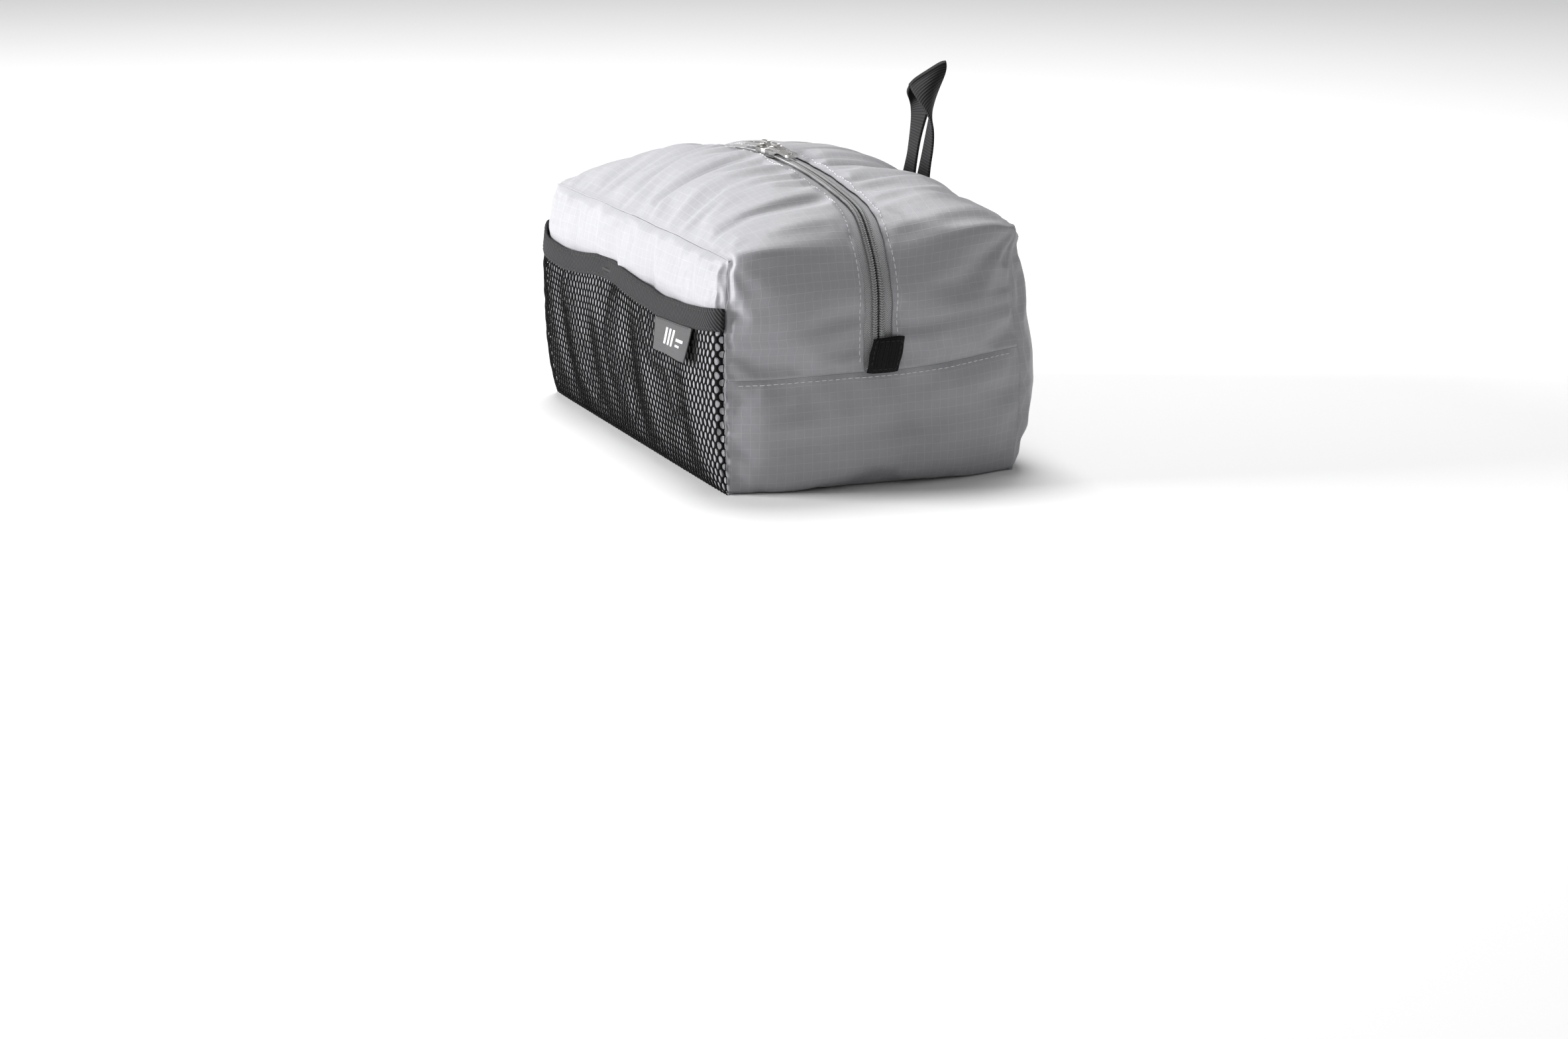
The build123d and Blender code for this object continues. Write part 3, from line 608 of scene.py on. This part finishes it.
def turned_in(points, cloth, side):
    """Adds a long panel's seam allowance: all round, its cloth turns in behind its neighbours' cloth."""
    for depth, shift in ((0.25, 0.55), (2.2, 0.3)):
        points = np.pad(points, ((1, 1), (1, 1), (0, 0)), "edge")
        cloth = np.pad(cloth, ((1, 1), (1, 1), (0, 0)), "edge")
        points[border(*points.shape[:2]), 1] -= side * depth
        for row, inward in ((0, 1), (-1, -1)):
            points[row, :, 0] += inward * shift
            points[:, row, 2] += inward * shift
            cloth[row, :, 0] -= inward * depth
            cloth[:, row, 1] -= inward * depth
    return points, cloth


FOOT_LENGTH = MID_SEAM - FOOT_RADIUS + FOOT_RADIUS * math.pi / 2 + END_REACH - FOOT_RADIUS


def foot_path(t):
    """The band's middle line, t mm from the mid seam of the right end down and under to x = 0."""
    upright = MID_SEAM - FOOT_RADIUS
    turn = np.clip((t - upright) / FOOT_RADIUS, 0, math.pi / 2)
    along = np.maximum(t - upright - FOOT_RADIUS * math.pi / 2, 0)
    x = END_REACH - FOOT_RADIUS + FOOT_RADIUS * np.cos(turn) - along
    z = np.where(t < upright, MID_SEAM - t, FOOT_RADIUS - FOOT_RADIUS * np.sin(turn))
    return x, z, np.cos(turn), -np.sin(turn)


def band_grid():
    """The bottom band: from the right mid seam under the base to the left one, front to back across."""
    half_rows, side_cols = int(FOOT_LENGTH / CLOTH_STEP), 26
    t = np.linspace(0, FOOT_LENGTH, half_rows + 1)
    corner_t = MID_SEAM - FOOT_RADIUS + 0.5 * FOOT_RADIUS * math.pi / 2
    columns = []
    for side in (-1, 1):
        height = SEAM_HEIGHT[side]
        z = np.where(t < corner_t, MID_CORNER[side] * (1 - t / corner_t), 0)
        under = HALF_L * (1 - (t - corner_t) / (FOOT_LENGTH - corner_t))
        cx, cy = corner_line(z, height)
        upright = t < corner_t
        outer = stacked(np.where(upright, cx, under), side * np.where(upright, cy, HALF_D), z)
        x, mz, nx, nz = foot_path(t)
        inner = stacked(x, slit_edge(ZIP_LENGTH * np.ones_like(t), side), mz)
        normal = stacked(nx, 0 * nx, nz)
        lean = (math.radians(20) * nx)[:, None, None]
        v = np.linspace(0, 1, side_cols)
        run = across(outer[:, None], inner[:, None], normal[:, None], lean, v[None, :, None])
        columns.append(run if side < 0 else run[:, ::-1])
    middle = (columns[0][:, -1:] + columns[1][:, :1]) / 2
    right = np.concatenate([columns[0], middle, columns[1]], axis=1)
    left = right[:-1][::-1] * np.array([-1, 1, 1])
    near_tab = bell(left[..., 1], 30) * smooth((left[..., 2] - 20) / 40)
    left[..., 1] -= zip_drift(ZIP_LENGTH) * near_tab
    points = np.concatenate([right, left], axis=0)
    rows, cols, _ = points.shape
    down = np.concatenate([t, 2 * FOOT_LENGTH - t[:-1][::-1]])[:, None] * np.ones((1, cols))
    y = points[..., 1]
    from_mid = np.minimum(down, 2 * FOOT_LENGTH - down)
    from_corner = HALF_D + 2 - np.abs(y)
    on_end = smooth((56 - from_mid) / 20)
    normals = grid_normals(points)
    lift = on_end * (0.8 * ripple(from_mid + 0.12 * y, [(29, 0.8), (17, 0.35)], 80)
                     + 0.9 * ripple(y, [(57, 0.8), (33, 0.4)], 81) + pucker(from_corner.clip(0), from_mid, 82)
                     + 0.5 * pucker(from_mid, y, 83))
    edge = np.minimum(from_mid, from_corner).clip(0)
    groove = 0.9 * bell(from_mid, 1.6) * smooth(from_corner / 8)
    points = points + normals * (lift * smooth(edge / 5) - groove)[..., None]
    held = border(rows, cols) | (from_mid > 66)
    points = relax(points, held, 0.014, np.ones((rows, cols)))
    points[..., 2] = np.maximum(points[..., 2], 0.15)
    return points, stacked(down, y)


# ---- pieces ----
SIDE_NAME = {-1: "front", 1: "back"}
END_NAME = {1: "right", -1: "left"}


def on_flap(obj):
    """Bakes the placement of a piece of the top into its mesh."""
    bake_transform(obj)


def swept(centres, wide, up, profile):
    """A closed profile of (across, up) points carried along centres, closed at both ends."""
    rows, cols = len(centres), len(profile)
    points = (centres[:, None] + wide[:, None] * profile[None, :, 0, None]
              + up[:, None] * profile[None, :, 1, None])
    along = np.concatenate([[0], np.cumsum(np.linalg.norm(np.diff(centres, axis=0), axis=1))])
    cloth = stacked(along[:, None], profile[None, :, 0])
    inward = np.dot(np.cross(wide[0], up[0]), centres[1] - centres[0]) < 0
    faces = grid_faces(rows, cols, flip=inward, closed=True)
    first, last = tuple(range(cols)), tuple(range((rows - 1) * cols, rows * cols))
    faces += [first, last[::-1]] if inward else [first[::-1], last]
    return points, faces, cloth


def sweep(name, centres, wide, up, profile, material):
    """The object that a swept profile makes."""
    points, faces, cloth = swept(centres, wide, up, profile)
    return new_object(name, points, faces, material, cloth)


def joined(*shapes):
    """One shape, as points and faces, from several."""
    points, faces, count = [], [], 0
    for more, quads in shapes:
        points.append(more.reshape(-1, 3))
        faces += [tuple(i + count for i in quad) for quad in quads]
        count += len(points[-1])
    return np.concatenate(points), faces


def flat_profile(width, thickness, lift, power, count=20):
    """A flat section, lift above its line; a higher power makes its edges squarer."""
    turn = np.arange(count) * 2 * math.pi / count
    c, s = np.cos(turn), np.sin(turn)
    x = np.sign(c) * np.abs(c) ** (2 / power) * width / 2
    y = np.sign(s) * np.abs(s) ** (2 / power) * thickness / 2 + lift
    return stacked(x, y)


def zip_frame(s):
    """Points, directions across (y) and outward directions along the zip."""
    x, z, nx, nz = zip_path(s)
    zero = np.zeros_like(x)
    centre = stacked(x, zip_drift(s), z)
    return centre, stacked(zero, zero + 1, zero), stacked(nx, zero, nz)


def tree_of(obj):
    """A search tree of obj's faces, in mm."""
    mesh = obj.data
    points = [v.co / MM for v in mesh.vertices]
    return BVHTree.FromPolygons(points, [tuple(p.vertices) for p in mesh.polygons])


def snapped(tree, points, outward):
    """Drops points onto a surface from outside; returns where they land and the surface's normals."""
    places, normals = [], []
    for point, out in zip(points, outward):
        start = Vector(point) + 12 * Vector(out)
        hit, normal, _, _ = tree.ray_cast(start, -Vector(out), 24)
        places.append(tuple(hit) if hit is not None else tuple(point))
        normals.append(tuple(normal) if normal is not None else tuple(out))
    return np.array(places), unit(np.array(normals))


def stitches(name, tree, line, outward, material, dash=2.7, gap=0.9, girth=0.5):
    """A row of thread dashes laid along a line on a surface."""
    length = np.concatenate([[0], np.cumsum(np.linalg.norm(np.diff(line, axis=0), axis=1))])
    at = np.arange(dash, length[-1] - dash, dash + gap)
    where = np.stack([np.interp(at, length, line[:, k]) for k in range(3)], -1)
    out = unit(np.stack([np.interp(at, length, outward[:, k]) for k in range(3)], -1))
    ahead = np.stack([np.interp(at + 1, length, line[:, k]) for k in range(3)], -1) - where
    places, normals = snapped(tree, where, out)
    side = unit(np.cross(normals, ahead))
    forward = np.cross(side, normals)
    axes = np.stack([forward, side, normals], 1)
    points, faces = scatter(*bead(dash, girth, girth * 0.8), places + normals * girth * 0.15, axes)
    return new_object(name, points, faces, material)


def top_strip(side):
    """One long side of the top: cloth with a folded edge along the zip, and its topstitching."""
    points, cloth = strip_grid(side)
    rows, cols, _ = points.shape
    s = cloth[:, -1, 0]
    _, across_y, out = zip_frame(s)
    edge = points[:, -1]
    inward = -side * across_y
    fold = [edge + aside * inward - drop * out for aside, drop in ((0.35, 0.3), (0.1, 0.85), (-1.6, 1.0))]
    points = np.concatenate([points, np.stack(fold, 1)], axis=1)
    more = cloth[:, -1:, :] + np.array([[[0, 0.5], [0, 1.1], [0, 3.0]]])
    cloth = np.concatenate([cloth, more], axis=1)
    name = SIDE_NAME[side]
    faces = grid_faces(rows, cols + 3, flip=side < 0)
    cloth_obj = new_object(f"top_{name}_cloth", points, faces, FABRIC, cloth)
    thicken(cloth_obj, CLOTH_THICKNESS)
    tree = tree_of(cloth_obj)
    nodes = [f"top_{name}_panel", f"left_{name}_gusset", f"right_{name}_gusset"]
    parts = halves(cloth_obj, [f"top_{name}_cloth_{END_NAME[e]}" for e in (1, -1)])
    area = 0.5 * grid_area(points[:, :cols])
    for part, end in zip(parts, (1, -1)):
        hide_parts(nodes[0], nodes[2] if end > 0 else nodes[1])
        on_flap(part)
        run = np.linspace(1.2, ZIP_LENGTH - 2, 400) * end
        centre, across_y, out = zip_frame(run)
        row = stitches(f"{name}_zip_stitches_{END_NAME[end]}", tree,
                       centre + side * STITCH_HALF * across_y, out, THREAD)
        on_flap(row)
    return parts, area


def grid_area(points):
    """A grid's area in square metres."""
    a, b, c, d = points[:-1, :-1], points[1:, :-1], points[1:, 1:], points[:-1, 1:]
    doubled = [np.linalg.norm(np.cross(p - a, q - a), axis=-1).sum() for p, q in ((b, c), (c, d))]
    return float(sum(doubled) / 2 * MM * MM)


def long_panel(side):
    """The front or back panel, its borders turned in behind its neighbours."""
    points, cloth = turned_in(*long_panel_grid(side), side)
    rows, cols, _ = points.shape
    name = SIDE_NAME[side]
    obj = new_object(f"{name}_cloth", points, grid_faces(rows, cols, flip=side < 0), FABRIC, cloth)
    thicken(obj, CLOTH_THICKNESS)
    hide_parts(f"{name}_panel")
    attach(obj, "bag")
    return obj


def band():
    """The bottom band; at each mid seam its cloth runs on behind the top strips."""
    points, cloth = band_grid()
    first, last = points[0].copy(), points[-1].copy()
    for away, depth in ((0.4, 0.6), (2.4, 0.8)):
        rows = [seam + np.array([-end * depth, 0, away]) for seam, end in ((first, 1), (last, -1))]
        points = np.concatenate([rows[0][None], points, rows[1][None]])
        cloth = np.concatenate([cloth[:1] - [away, 0], cloth, cloth[-1:] + [away, 0]])
    rows, cols, _ = points.shape
    obj = new_object("bottom_cloth", points, grid_faces(rows, cols, flip=True), FABRIC, cloth)
    thicken(obj, CLOTH_THICKNESS)
    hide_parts("bottom_band")
    tree = tree_of(obj)
    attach(obj, "bag")
    for end in (1, -1):
        y = np.linspace(-78, 78, 210)
        seam = first if end > 0 else last
        order = np.argsort(seam[:, 1])
        x, z = (np.interp(y, seam[order, 1], seam[order, k]) for k in (0, 2))
        line = stacked(x, y, z - 2.6)
        out = np.tile([float(end), 0.0, 0.0], (len(y), 1))
        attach(stitches(f"{END_NAME[end]}_seam_stitches", tree, line, out, THREAD), "bag")
    return obj


def coil_teeth(side, end, offset, rise, lean, width):
    """A row of the coil's slanting strands beside the zip's middle."""
    centre, across_y, out = zip_frame(np.arange(0.65, ZIP_LENGTH - 11, COIL_PITCH) * end)
    forward = unit(side * across_y * math.cos(lean) + np.cross(across_y, out) * math.sin(lean))
    axes = np.stack([forward, np.cross(out, forward), out], 1)
    return scatter(*bead(1.9, width, 1.7), centre + side * offset * across_y + rise * out, axes)


def zip_halves():
    """Tape and coil, each side of the slit and each way from the middle."""
    for side in (-1, 1):
        for end in (1, -1):
            name = f"{SIDE_NAME[side]}_{{}}_{END_NAME[end]}"
            centre, across_y, out = zip_frame(np.linspace(0, ZIP_LENGTH - 1, 190) * end)
            profile = flat_profile(TAPE_WIDTH, 0.5, -1.6, 8)
            tape = sweep(name.format("tape"), centre + side * TAPE_MIDDLE * across_y, across_y, out, profile,
                         ZIP_TAPE)
            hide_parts(f"top_{SIDE_NAME[side]}_tape", f"{SIDE_NAME[side]}_tape_ends")
            on_flap(tape)
            centre, across_y, out = zip_frame(np.linspace(0, ZIP_LENGTH - 10, 190) * end)
            core = swept(centre + side * 1.85 * across_y, across_y, out, flat_profile(2.2, 1.7, -0.6, 3))
            inner = coil_teeth(side, end, 1.25, 0.12, 0.55, 1.15)
            outer = coil_teeth(side, end, 2.6, -0.12, -0.75, 1.1)
            coil = new_object(name.format("coil"), *joined(core[:2], inner, outer), COIL)
            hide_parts(f"top_{SIDE_NAME[side]}_coil", f"{SIDE_NAME[side]}_coil_ends")
            on_flap(coil)


def tab_place(u, w, end):
    """A point on the flat of a leaning tab: u from -1 to 1 across it, w from 0 to 1 up it."""
    y = end * (-2.2 + 3.8 * w) + TAB_HALF * u
    return stacked(np.full_like(y, end * TAB_X), y, TAB_FOOT + TAB_HEIGHT * w)


def zip_tabs():
    """The ribbed black tabs that close each end of the zip, leaning a little."""
    for end in (1, -1):
        u, w = grid(np.linspace(-1, 1, 61), np.linspace(0, 1, 41))
        dome = (1 - np.abs(u) ** 4) * (1 - np.abs(2 * w - 1) ** 6)
        ribs = 0.08 * np.cos(2 * math.pi * u * TAB_HALF / TAB_RIB)
        points = tab_place(u, w, end)
        points[..., 0] += end * (0.8 + ribs) * dome
        points[..., 1] -= TAB_HALF * u * 0.03 * np.sin(9 * w)
        points[..., 2] += 0.4 * np.sin(2 * u) * w
        tab = new_object(f"{END_NAME[end]}_tab", points, grid_faces(61, 41, flip=end < 0), TAB_WEB,
                         stacked(TAB_HALF * u, 16 * w))
        thicken(tab, 1.3, 0)
        tree = tree_of(tab)
        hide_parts(f"{END_NAME[end]}_zip_tab")
        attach(tab, "bag")
        border = [(-0.84, 0.09), (0.84, 0.09), (0.84, 0.91), (-0.84, 0.91), (-0.84, 0.09)]
        line = []
        for (u0, w0), (u1, w1) in zip(border, border[1:]):
            t = np.linspace(0, 1, 12)[:, None]
            line.append(np.array([u0, w0]) * (1 - t) + np.array([u1, w1]) * t)
        line = np.concatenate(line)
        place = tab_place(line[:, 0], line[:, 1], end)
        row = stitches(f"{END_NAME[end]}_tab_stitches", tree, place,
                       np.tile([float(end), 0.0, 0.0], (len(place), 1)), DARK_THREAD, 2.2, 0.7, 0.45)
        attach(row, "bag")


# ---- the mesh pocket ----
TACK_X, TACK_LENGTH = -27.0, 20.0         # the bar tack that holds the pocket's edge to the panel


def pocket_top(x):
    """Height of the pocket's open edge, which sags either side of the bar tack and climbs at its far end."""
    way = np.abs(x - TACK_X) / (HALF_L - TACK_X * np.sign(x - TACK_X))
    sag = POCKET_SAG * np.sin(math.pi * way.clip(0, 1) ** 1.25).clip(0) ** 1.3
    return POCKET_TOP - sag + 3.5 * smooth((-x - 126) / 14) + ripple(x, [(47, 0.2), (31, 0.15)], 90)


def pocket_y(x, z):
    """How far out the net stands, positive towards the front: a flat belly that turns back at its ends."""
    u = np.abs(x / HALF_L).clip(0, 1)
    seam = POCKET_FRONT + 2.6 * 4 * (z / 122) * (1 - z / 122)
    belly = POCKET_FRONT + POCKET_BELLY * np.sin(math.pi * np.clip(z / 118, 0, 1)).clip(0) ** 0.5
    plan = (1 - u ** 16) ** 0.5
    rise = smooth((z - 50) / 35)
    loose = 2.5 * bell(x + 112, 30) - 2.2 * bell(x - TACK_X, 20)
    slack = np.sin(math.pi * np.clip(z / 92, 0, 1)) * ripple(x + 0.3 * z, [(61, 0.5), (37, 0.4)], 91)
    return seam + (belly - seam + loose * rise + slack) * plan


def pocket_place(x, z):
    """A point of the flat net, x by z, put on the hanging pocket."""
    height = z / POCKET_TOP * pocket_top(x)
    cx, _ = corner_line(np.clip(height, 0, 122), 122.0)
    out_x = x / HALF_L * (cx + 0.4)
    return stacked(out_x, -pocket_y(x, height), np.maximum(height, 0.4))


def on_pocket(obj):
    """Bakes the placement of a piece of the pocket, on one side of its middle, into its mesh."""
    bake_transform(obj)


def pocket_net():
    """Hexagonal net: each cell is a ring of twelve quads round its hole, and neighbours share its rim."""
    radius = NET_PITCH / math.sqrt(3)
    flat_side = radius * math.cos(math.pi / 6)
    turn = np.arange(12) * math.pi / 6
    ways = stacked(np.cos(turn), np.sin(turn))
    ring = ways * np.where(np.arange(12) % 2 == 1, radius, flat_side)[:, None]
    hole = ways * np.array([HOLE_WIDTH * flat_side, HOLE_HEIGHT * radius])
    index, flat, lifted, faces = {}, [], [], []

    def add(point, lift):
        """The number of a net point. Points lifted by a strand's thickness are shared between cells."""
        point = tuple(np.clip(point, (-HALF_L, 0), (HALF_L, POCKET_TOP - 2)))
        key = (round(point[0], 3), round(point[1], 3)) if lift else len(flat) + 1e6
        if key not in index:
            index[key] = len(flat)
            flat.append(point)
            lifted.append(lift)
        return index[key]

    row = 0
    while row * 1.5 * radius < POCKET_TOP - 3:
        for col in range(-36, 37):
            centre = np.array([(col + 0.5 * (row % 2)) * NET_PITCH, 0.5 + row * 1.5 * radius])
            if abs(centre[0]) > HALF_L + 0.4 * NET_PITCH:
                continue
            outer_ids = [add(centre + p, 0.28) for p in ring]
            inner_ids = [add(centre + p, 0.0) for p in hole]
            for k in range(12):
                n = (k + 1) % 12
                quad = (outer_ids[k], outer_ids[n], inner_ids[n], inner_ids[k])
                if len(set(quad)) == 4:
                    faces.append(quad)
        row += 1
    flat = np.array(flat)
    points = pocket_place(flat[:, 0], flat[:, 1])
    points[:, 1] -= np.array(lifted)
    net = new_object("pocket_net", points, faces, NET, flat)
    thicken(net, NET_THICKNESS, 0)
    for part, end in zip(halves(net, ("pocket_net_right", "pocket_net_left")), (1, -1)):
        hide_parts("mesh_pocket")
        on_pocket(part)


def pocket_binding():
    """The folded tape along the pocket's open edge, its stitching, and the bar tack near its middle."""
    x = np.linspace(-HALF_L - 0.8, HALF_L + 0.8, 240)
    top = pocket_top(x)
    upper = stacked(x, -pocket_y(x, top), top)
    lower = stacked(x, -pocket_y(x, top - BINDING_WIDTH), top - BINDING_WIDTH)
    middle = (upper + lower) / 2
    cx, _ = corner_line(np.clip(top, 0, 122), 122.0)
    middle[:, 0] = x / HALF_L * (cx + 0.5)
    wide = unit(upper - lower)
    out = unit(np.cross(wide, np.gradient(middle, axis=0)))
    out *= np.where(out[:, 1:2] > 0, -1, 1)
    profile = flat_profile(BINDING_WIDTH, 2.0, 0.35, 3.2, 32)
    binding = sweep("pocket_edge_tape", middle, wide, out, profile, BINDING)
    tree = tree_of(binding)
    for part, end in zip(halves(binding, ("pocket_edge_tape_right", "pocket_edge_tape_left")), (1, -1)):
        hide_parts("pocket_binding")
        on_pocket(part)
        half = middle[:, 0] * end > 0
        line, up, outward = middle[half], wide[half], out[half]
        for name, offset in (("lower", -4.3), ("upper", 4.2)):
            row = stitches(f"pocket_{name}_stitches_{END_NAME[end]}", tree, line + offset * up, outward,
                           DARK_THREAD, 2.6, 0.8, 0.4)
            on_pocket(row)
    pick = np.argmin(np.abs(middle[:, 0] - TACK_X))
    up, outward = wide[pick], out[pick]
    along = np.cross(up, outward)
    zig = np.arange(int(TACK_LENGTH / 0.4))[:, None]
    place = middle[pick] - 0.6 * up + (zig * 0.4 - TACK_LENGTH / 2) * along + outward * 1.35
    forward = unit(up + np.where(zig % 2 == 0, 0.22, -0.22) * along)
    face = np.tile(outward, (len(zig), 1))
    axes = np.stack([forward, np.cross(face, forward), face], 1)
    points, faces = scatter(*bead(2.5, 0.55, 0.6), place, axes)
    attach(new_object("pocket_bar_tack", points, faces, DARK_THREAD), "pocket")


LABEL_SPOT = (90.0, 83.2)                 # middle of its top edge, in x and z
LABEL_WIDTH, LABEL_HEIGHT = 54.0, 18.6
LABEL_RISE = 0.05                         # it climbs a little to the right
LABEL_TUCK = 1.0                          # so much of its top edge is turned in behind the binding


def label_place(u, w, extra=0.0):
    """A point of the label, u along it and w down from its top edge, which is sewn to the pocket."""
    x = LABEL_SPOT[0] + u - LABEL_RISE * w
    z = LABEL_SPOT[1] - w + LABEL_RISE * u
    lift = w / LABEL_HEIGHT
    curl = 1.7 * lift ** 2 * (0.55 + 0.45 * np.sin(u / 11 + 0.6))
    stand = 1.5 + curl + 2.4 * lift * smooth((u - 8) / 19)
    return stacked(x, -pocket_y(x, z) - stand - extra, z)


def woven_label():
    """The woven label: it hangs from its top edge and carries a plain motif of bars."""
    u, w = grid(np.linspace(-0.5, 0.5, 55) * LABEL_WIDTH, np.linspace(LABEL_TUCK, LABEL_HEIGHT, 22))
    label = new_object("label_cloth", label_place(u, w), grid_faces(55, 22), LABEL, stacked(u, w))
    thicken(label, 0.7)
    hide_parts("woven_label")
    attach(label, "label")
    bars = [(centre, 4.6, 3.0, 9.0, 0.35) for centre in (-9.0, -3.0, 3.0)]
    bars += [(14.5, 8.4, 11.0, 1.5, 0.0), (12.5, 11.6, 7.0, 1.1, 0.0)]
    for number, (centre, top, width, height, slant) in enumerate(bars):
        a, b = grid(np.linspace(-0.5, 0.5, 9), np.linspace(0, 1, 9))
        u = centre + a * width - slant * (b - 0.5) * height
        w = top + b * height
        bar = new_object(f"label_bar_{number}", label_place(u, w, 0.16), grid_faces(9, 9), THREAD,
                         stacked(u, w))
        thicken(bar, 0.3, 0)
        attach(bar, "label")
    line = label_place(np.linspace(-25, 25, 60), np.full(60, 1.6))
    outward = np.tile([0.0, -1.0, 0.0], (60, 1))
    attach(stitches("label_stitches", tree_of(label), line, outward, DARK_THREAD, 2.2, 0.8, 0.4), "label")


# ---- the carrying loop ----
def handle_loop():
    """A webbing strap folded over at the top, its two feet opened out side by side at the seam."""
    half, crest = WEB_WIDTH / 2, 1.9
    v = np.linspace(-half, half, 15)
    h = np.linspace(0, 1, 60)[:, None]
    turn = np.radians(90 * h ** 4.6)
    parted = 1.0 + 1.7 * np.sin(math.pi * np.minimum(h / 0.85, 1))
    cx = -(parted + (crest - parted) * smooth((h - 0.75) / 0.25)) - half * np.cos(turn)
    cy = HANDLE_Y + 7.2 * np.sin(math.pi / 2 * h) ** 1.15
    x = cx + v * np.cos(turn)
    y = cy + v * np.sin(turn)
    z = HANDLE_FOOT + HANDLE_RISE * h + (0.6 * v - 1.3 * (v / half) ** 6) * smooth((h - 0.5) / 0.5)
    rise = stacked(x, y, z)
    sway = 0.9 * np.sin(math.pi * np.minimum(h / 0.75, 1))
    aside = stacked(0 * v, sway, 0 * v)
    top = rise[-1]
    arc = []
    for angle in np.linspace(0, math.pi, 7)[1:-1]:
        over, up = -crest * np.cos(angle) + 0 * v, top[:, 2] + crest * np.sin(angle)
        arc.append(stacked(over, top[:, 1], up))
    fall = (rise + aside)[::-1] * np.array([-1, 1, 1])
    points = np.concatenate([rise - aside, np.array(arc), fall], axis=0)
    skew = -np.radians(5 + 5 * smooth((points[..., 2] - HANDLE_FOOT) / 20))
    x, y = points[..., 0].copy(), points[..., 1] - HANDLE_Y
    points[..., 0] = HANDLE_X + x * np.cos(skew) - y * np.sin(skew)
    points[..., 1] = HANDLE_Y + x * np.sin(skew) + y * np.cos(skew)
    rows = len(points)
    along = np.concatenate([[0], np.cumsum(np.linalg.norm(np.diff(points[:, 7], axis=0), axis=1))])
    cloth = stacked(along[:, None], v[None, :])
    strap = new_object("handle_strap", points, grid_faces(rows, 15), WEBBING, cloth)
    thicken(strap, WEB_THICKNESS, offset=0)
    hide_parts("webbing_handle")
    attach(strap, "handle")


def seam_bindings():
    """Bound seam edges inside, standing in along the two long top seams."""
    for side in (-1, 1):
        x = np.linspace(-HALF_L + 4, HALF_L - 4, 90)
        ty, tz = top_seam_line(x, side)
        centre = stacked(x, side * (ty - 4.5), tz - 2.6 + 0.3 * np.sin(x / 9))
        wide = np.tile([0.0, side * 0.9, 0.44], (90, 1))
        up = np.tile([0.0, -side * 0.44, 0.9], (90, 1))
        profile = flat_profile(7, 1.3, 0, 5)
        tape = sweep(f"{SIDE_NAME[side]}_inner_binding", centre, wide, up, profile, SEAM_TAPE)
        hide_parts(f"{SIDE_NAME[side]}_seam_tape")
        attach(tape, "bag")


# ---- build ----
for side in (-1, 1):
    parts, area = top_strip(side)
    long_panel(side)
band()
zip_halves()
zip_tabs()
pocket_net()
pocket_binding()
woven_label()
handle_loop()
seam_bindings()

for name in ("right_slider", "left_slider", "right_puller", "left_puller", "handle_anchor"):
    node = bpy.data.objects[name]
    node.data.materials.clear()
    node.data.materials.append(NICKEL if name != "handle_anchor" else DARK_THREAD)

# ---- floor, light and camera ----
floor = new_object("floor", [(-9000, -9000, 0), (9000, -9000, 0), (9000, 9000, 0), (-9000, 9000, 0)],
                   [(0, 1, 2, 3)], floor_material())


def area_light(name, place, target, size, watts):
    """A soft rectangular lamp at place that faces target, in metres."""
    lamp = bpy.data.lights.new(name, "AREA")
    lamp.shape = "RECTANGLE"
    lamp.size, lamp.size_y = size
    lamp.energy = watts
    obj = bpy.data.objects.new(name, lamp)
    bpy.context.scene.collection.objects.link(obj)
    obj.location = place
    obj.rotation_euler = (Vector(target) - Vector(place)).to_track_quat("-Z", "Y").to_euler()


area_light("key", (-0.70, -2.2, 0.62), (0, 0, 0.08), (1.0, 0.8), 107)
area_light("overhead", (-0.85, 0.3, 2.3), (0, 0, 0.1), (1.3, 1.3), 60)
world = bpy.data.worlds.new("studio")
world.use_nodes = True
world.node_tree.nodes["Background"].inputs["Color"].default_value = (0.95, 0.95, 0.95, 1)
world.node_tree.nodes["Background"].inputs["Strength"].default_value = 0.33
bpy.context.scene.world = world
bpy.context.scene.view_settings.view_transform = "Standard"

AZIMUTH, ELEVATION = math.radians(68.639), math.radians(13.701)
DISTANCE, RIGHT_SHIFT, UP_SHIFT = 2.080453, 0.00458, -0.05043
back = Vector((math.sin(AZIMUTH) * math.cos(ELEVATION), -math.cos(AZIMUTH) * math.cos(ELEVATION),
               math.sin(ELEVATION)))
right = Vector((math.cos(AZIMUTH), math.sin(AZIMUTH), 0))
up = back.cross(right)
lens = bpy.data.cameras.new("camera")
lens.lens, lens.sensor_width = 86, 36
camera = bpy.data.objects.new("camera", lens)
bpy.context.scene.collection.objects.link(camera)
camera.matrix_world = Matrix.Translation(back * DISTANCE + right * RIGHT_SHIFT + up * UP_SHIFT) @ Matrix(
    (right, up, back)).transposed().to_4x4()
bpy.context.scene.camera = camera
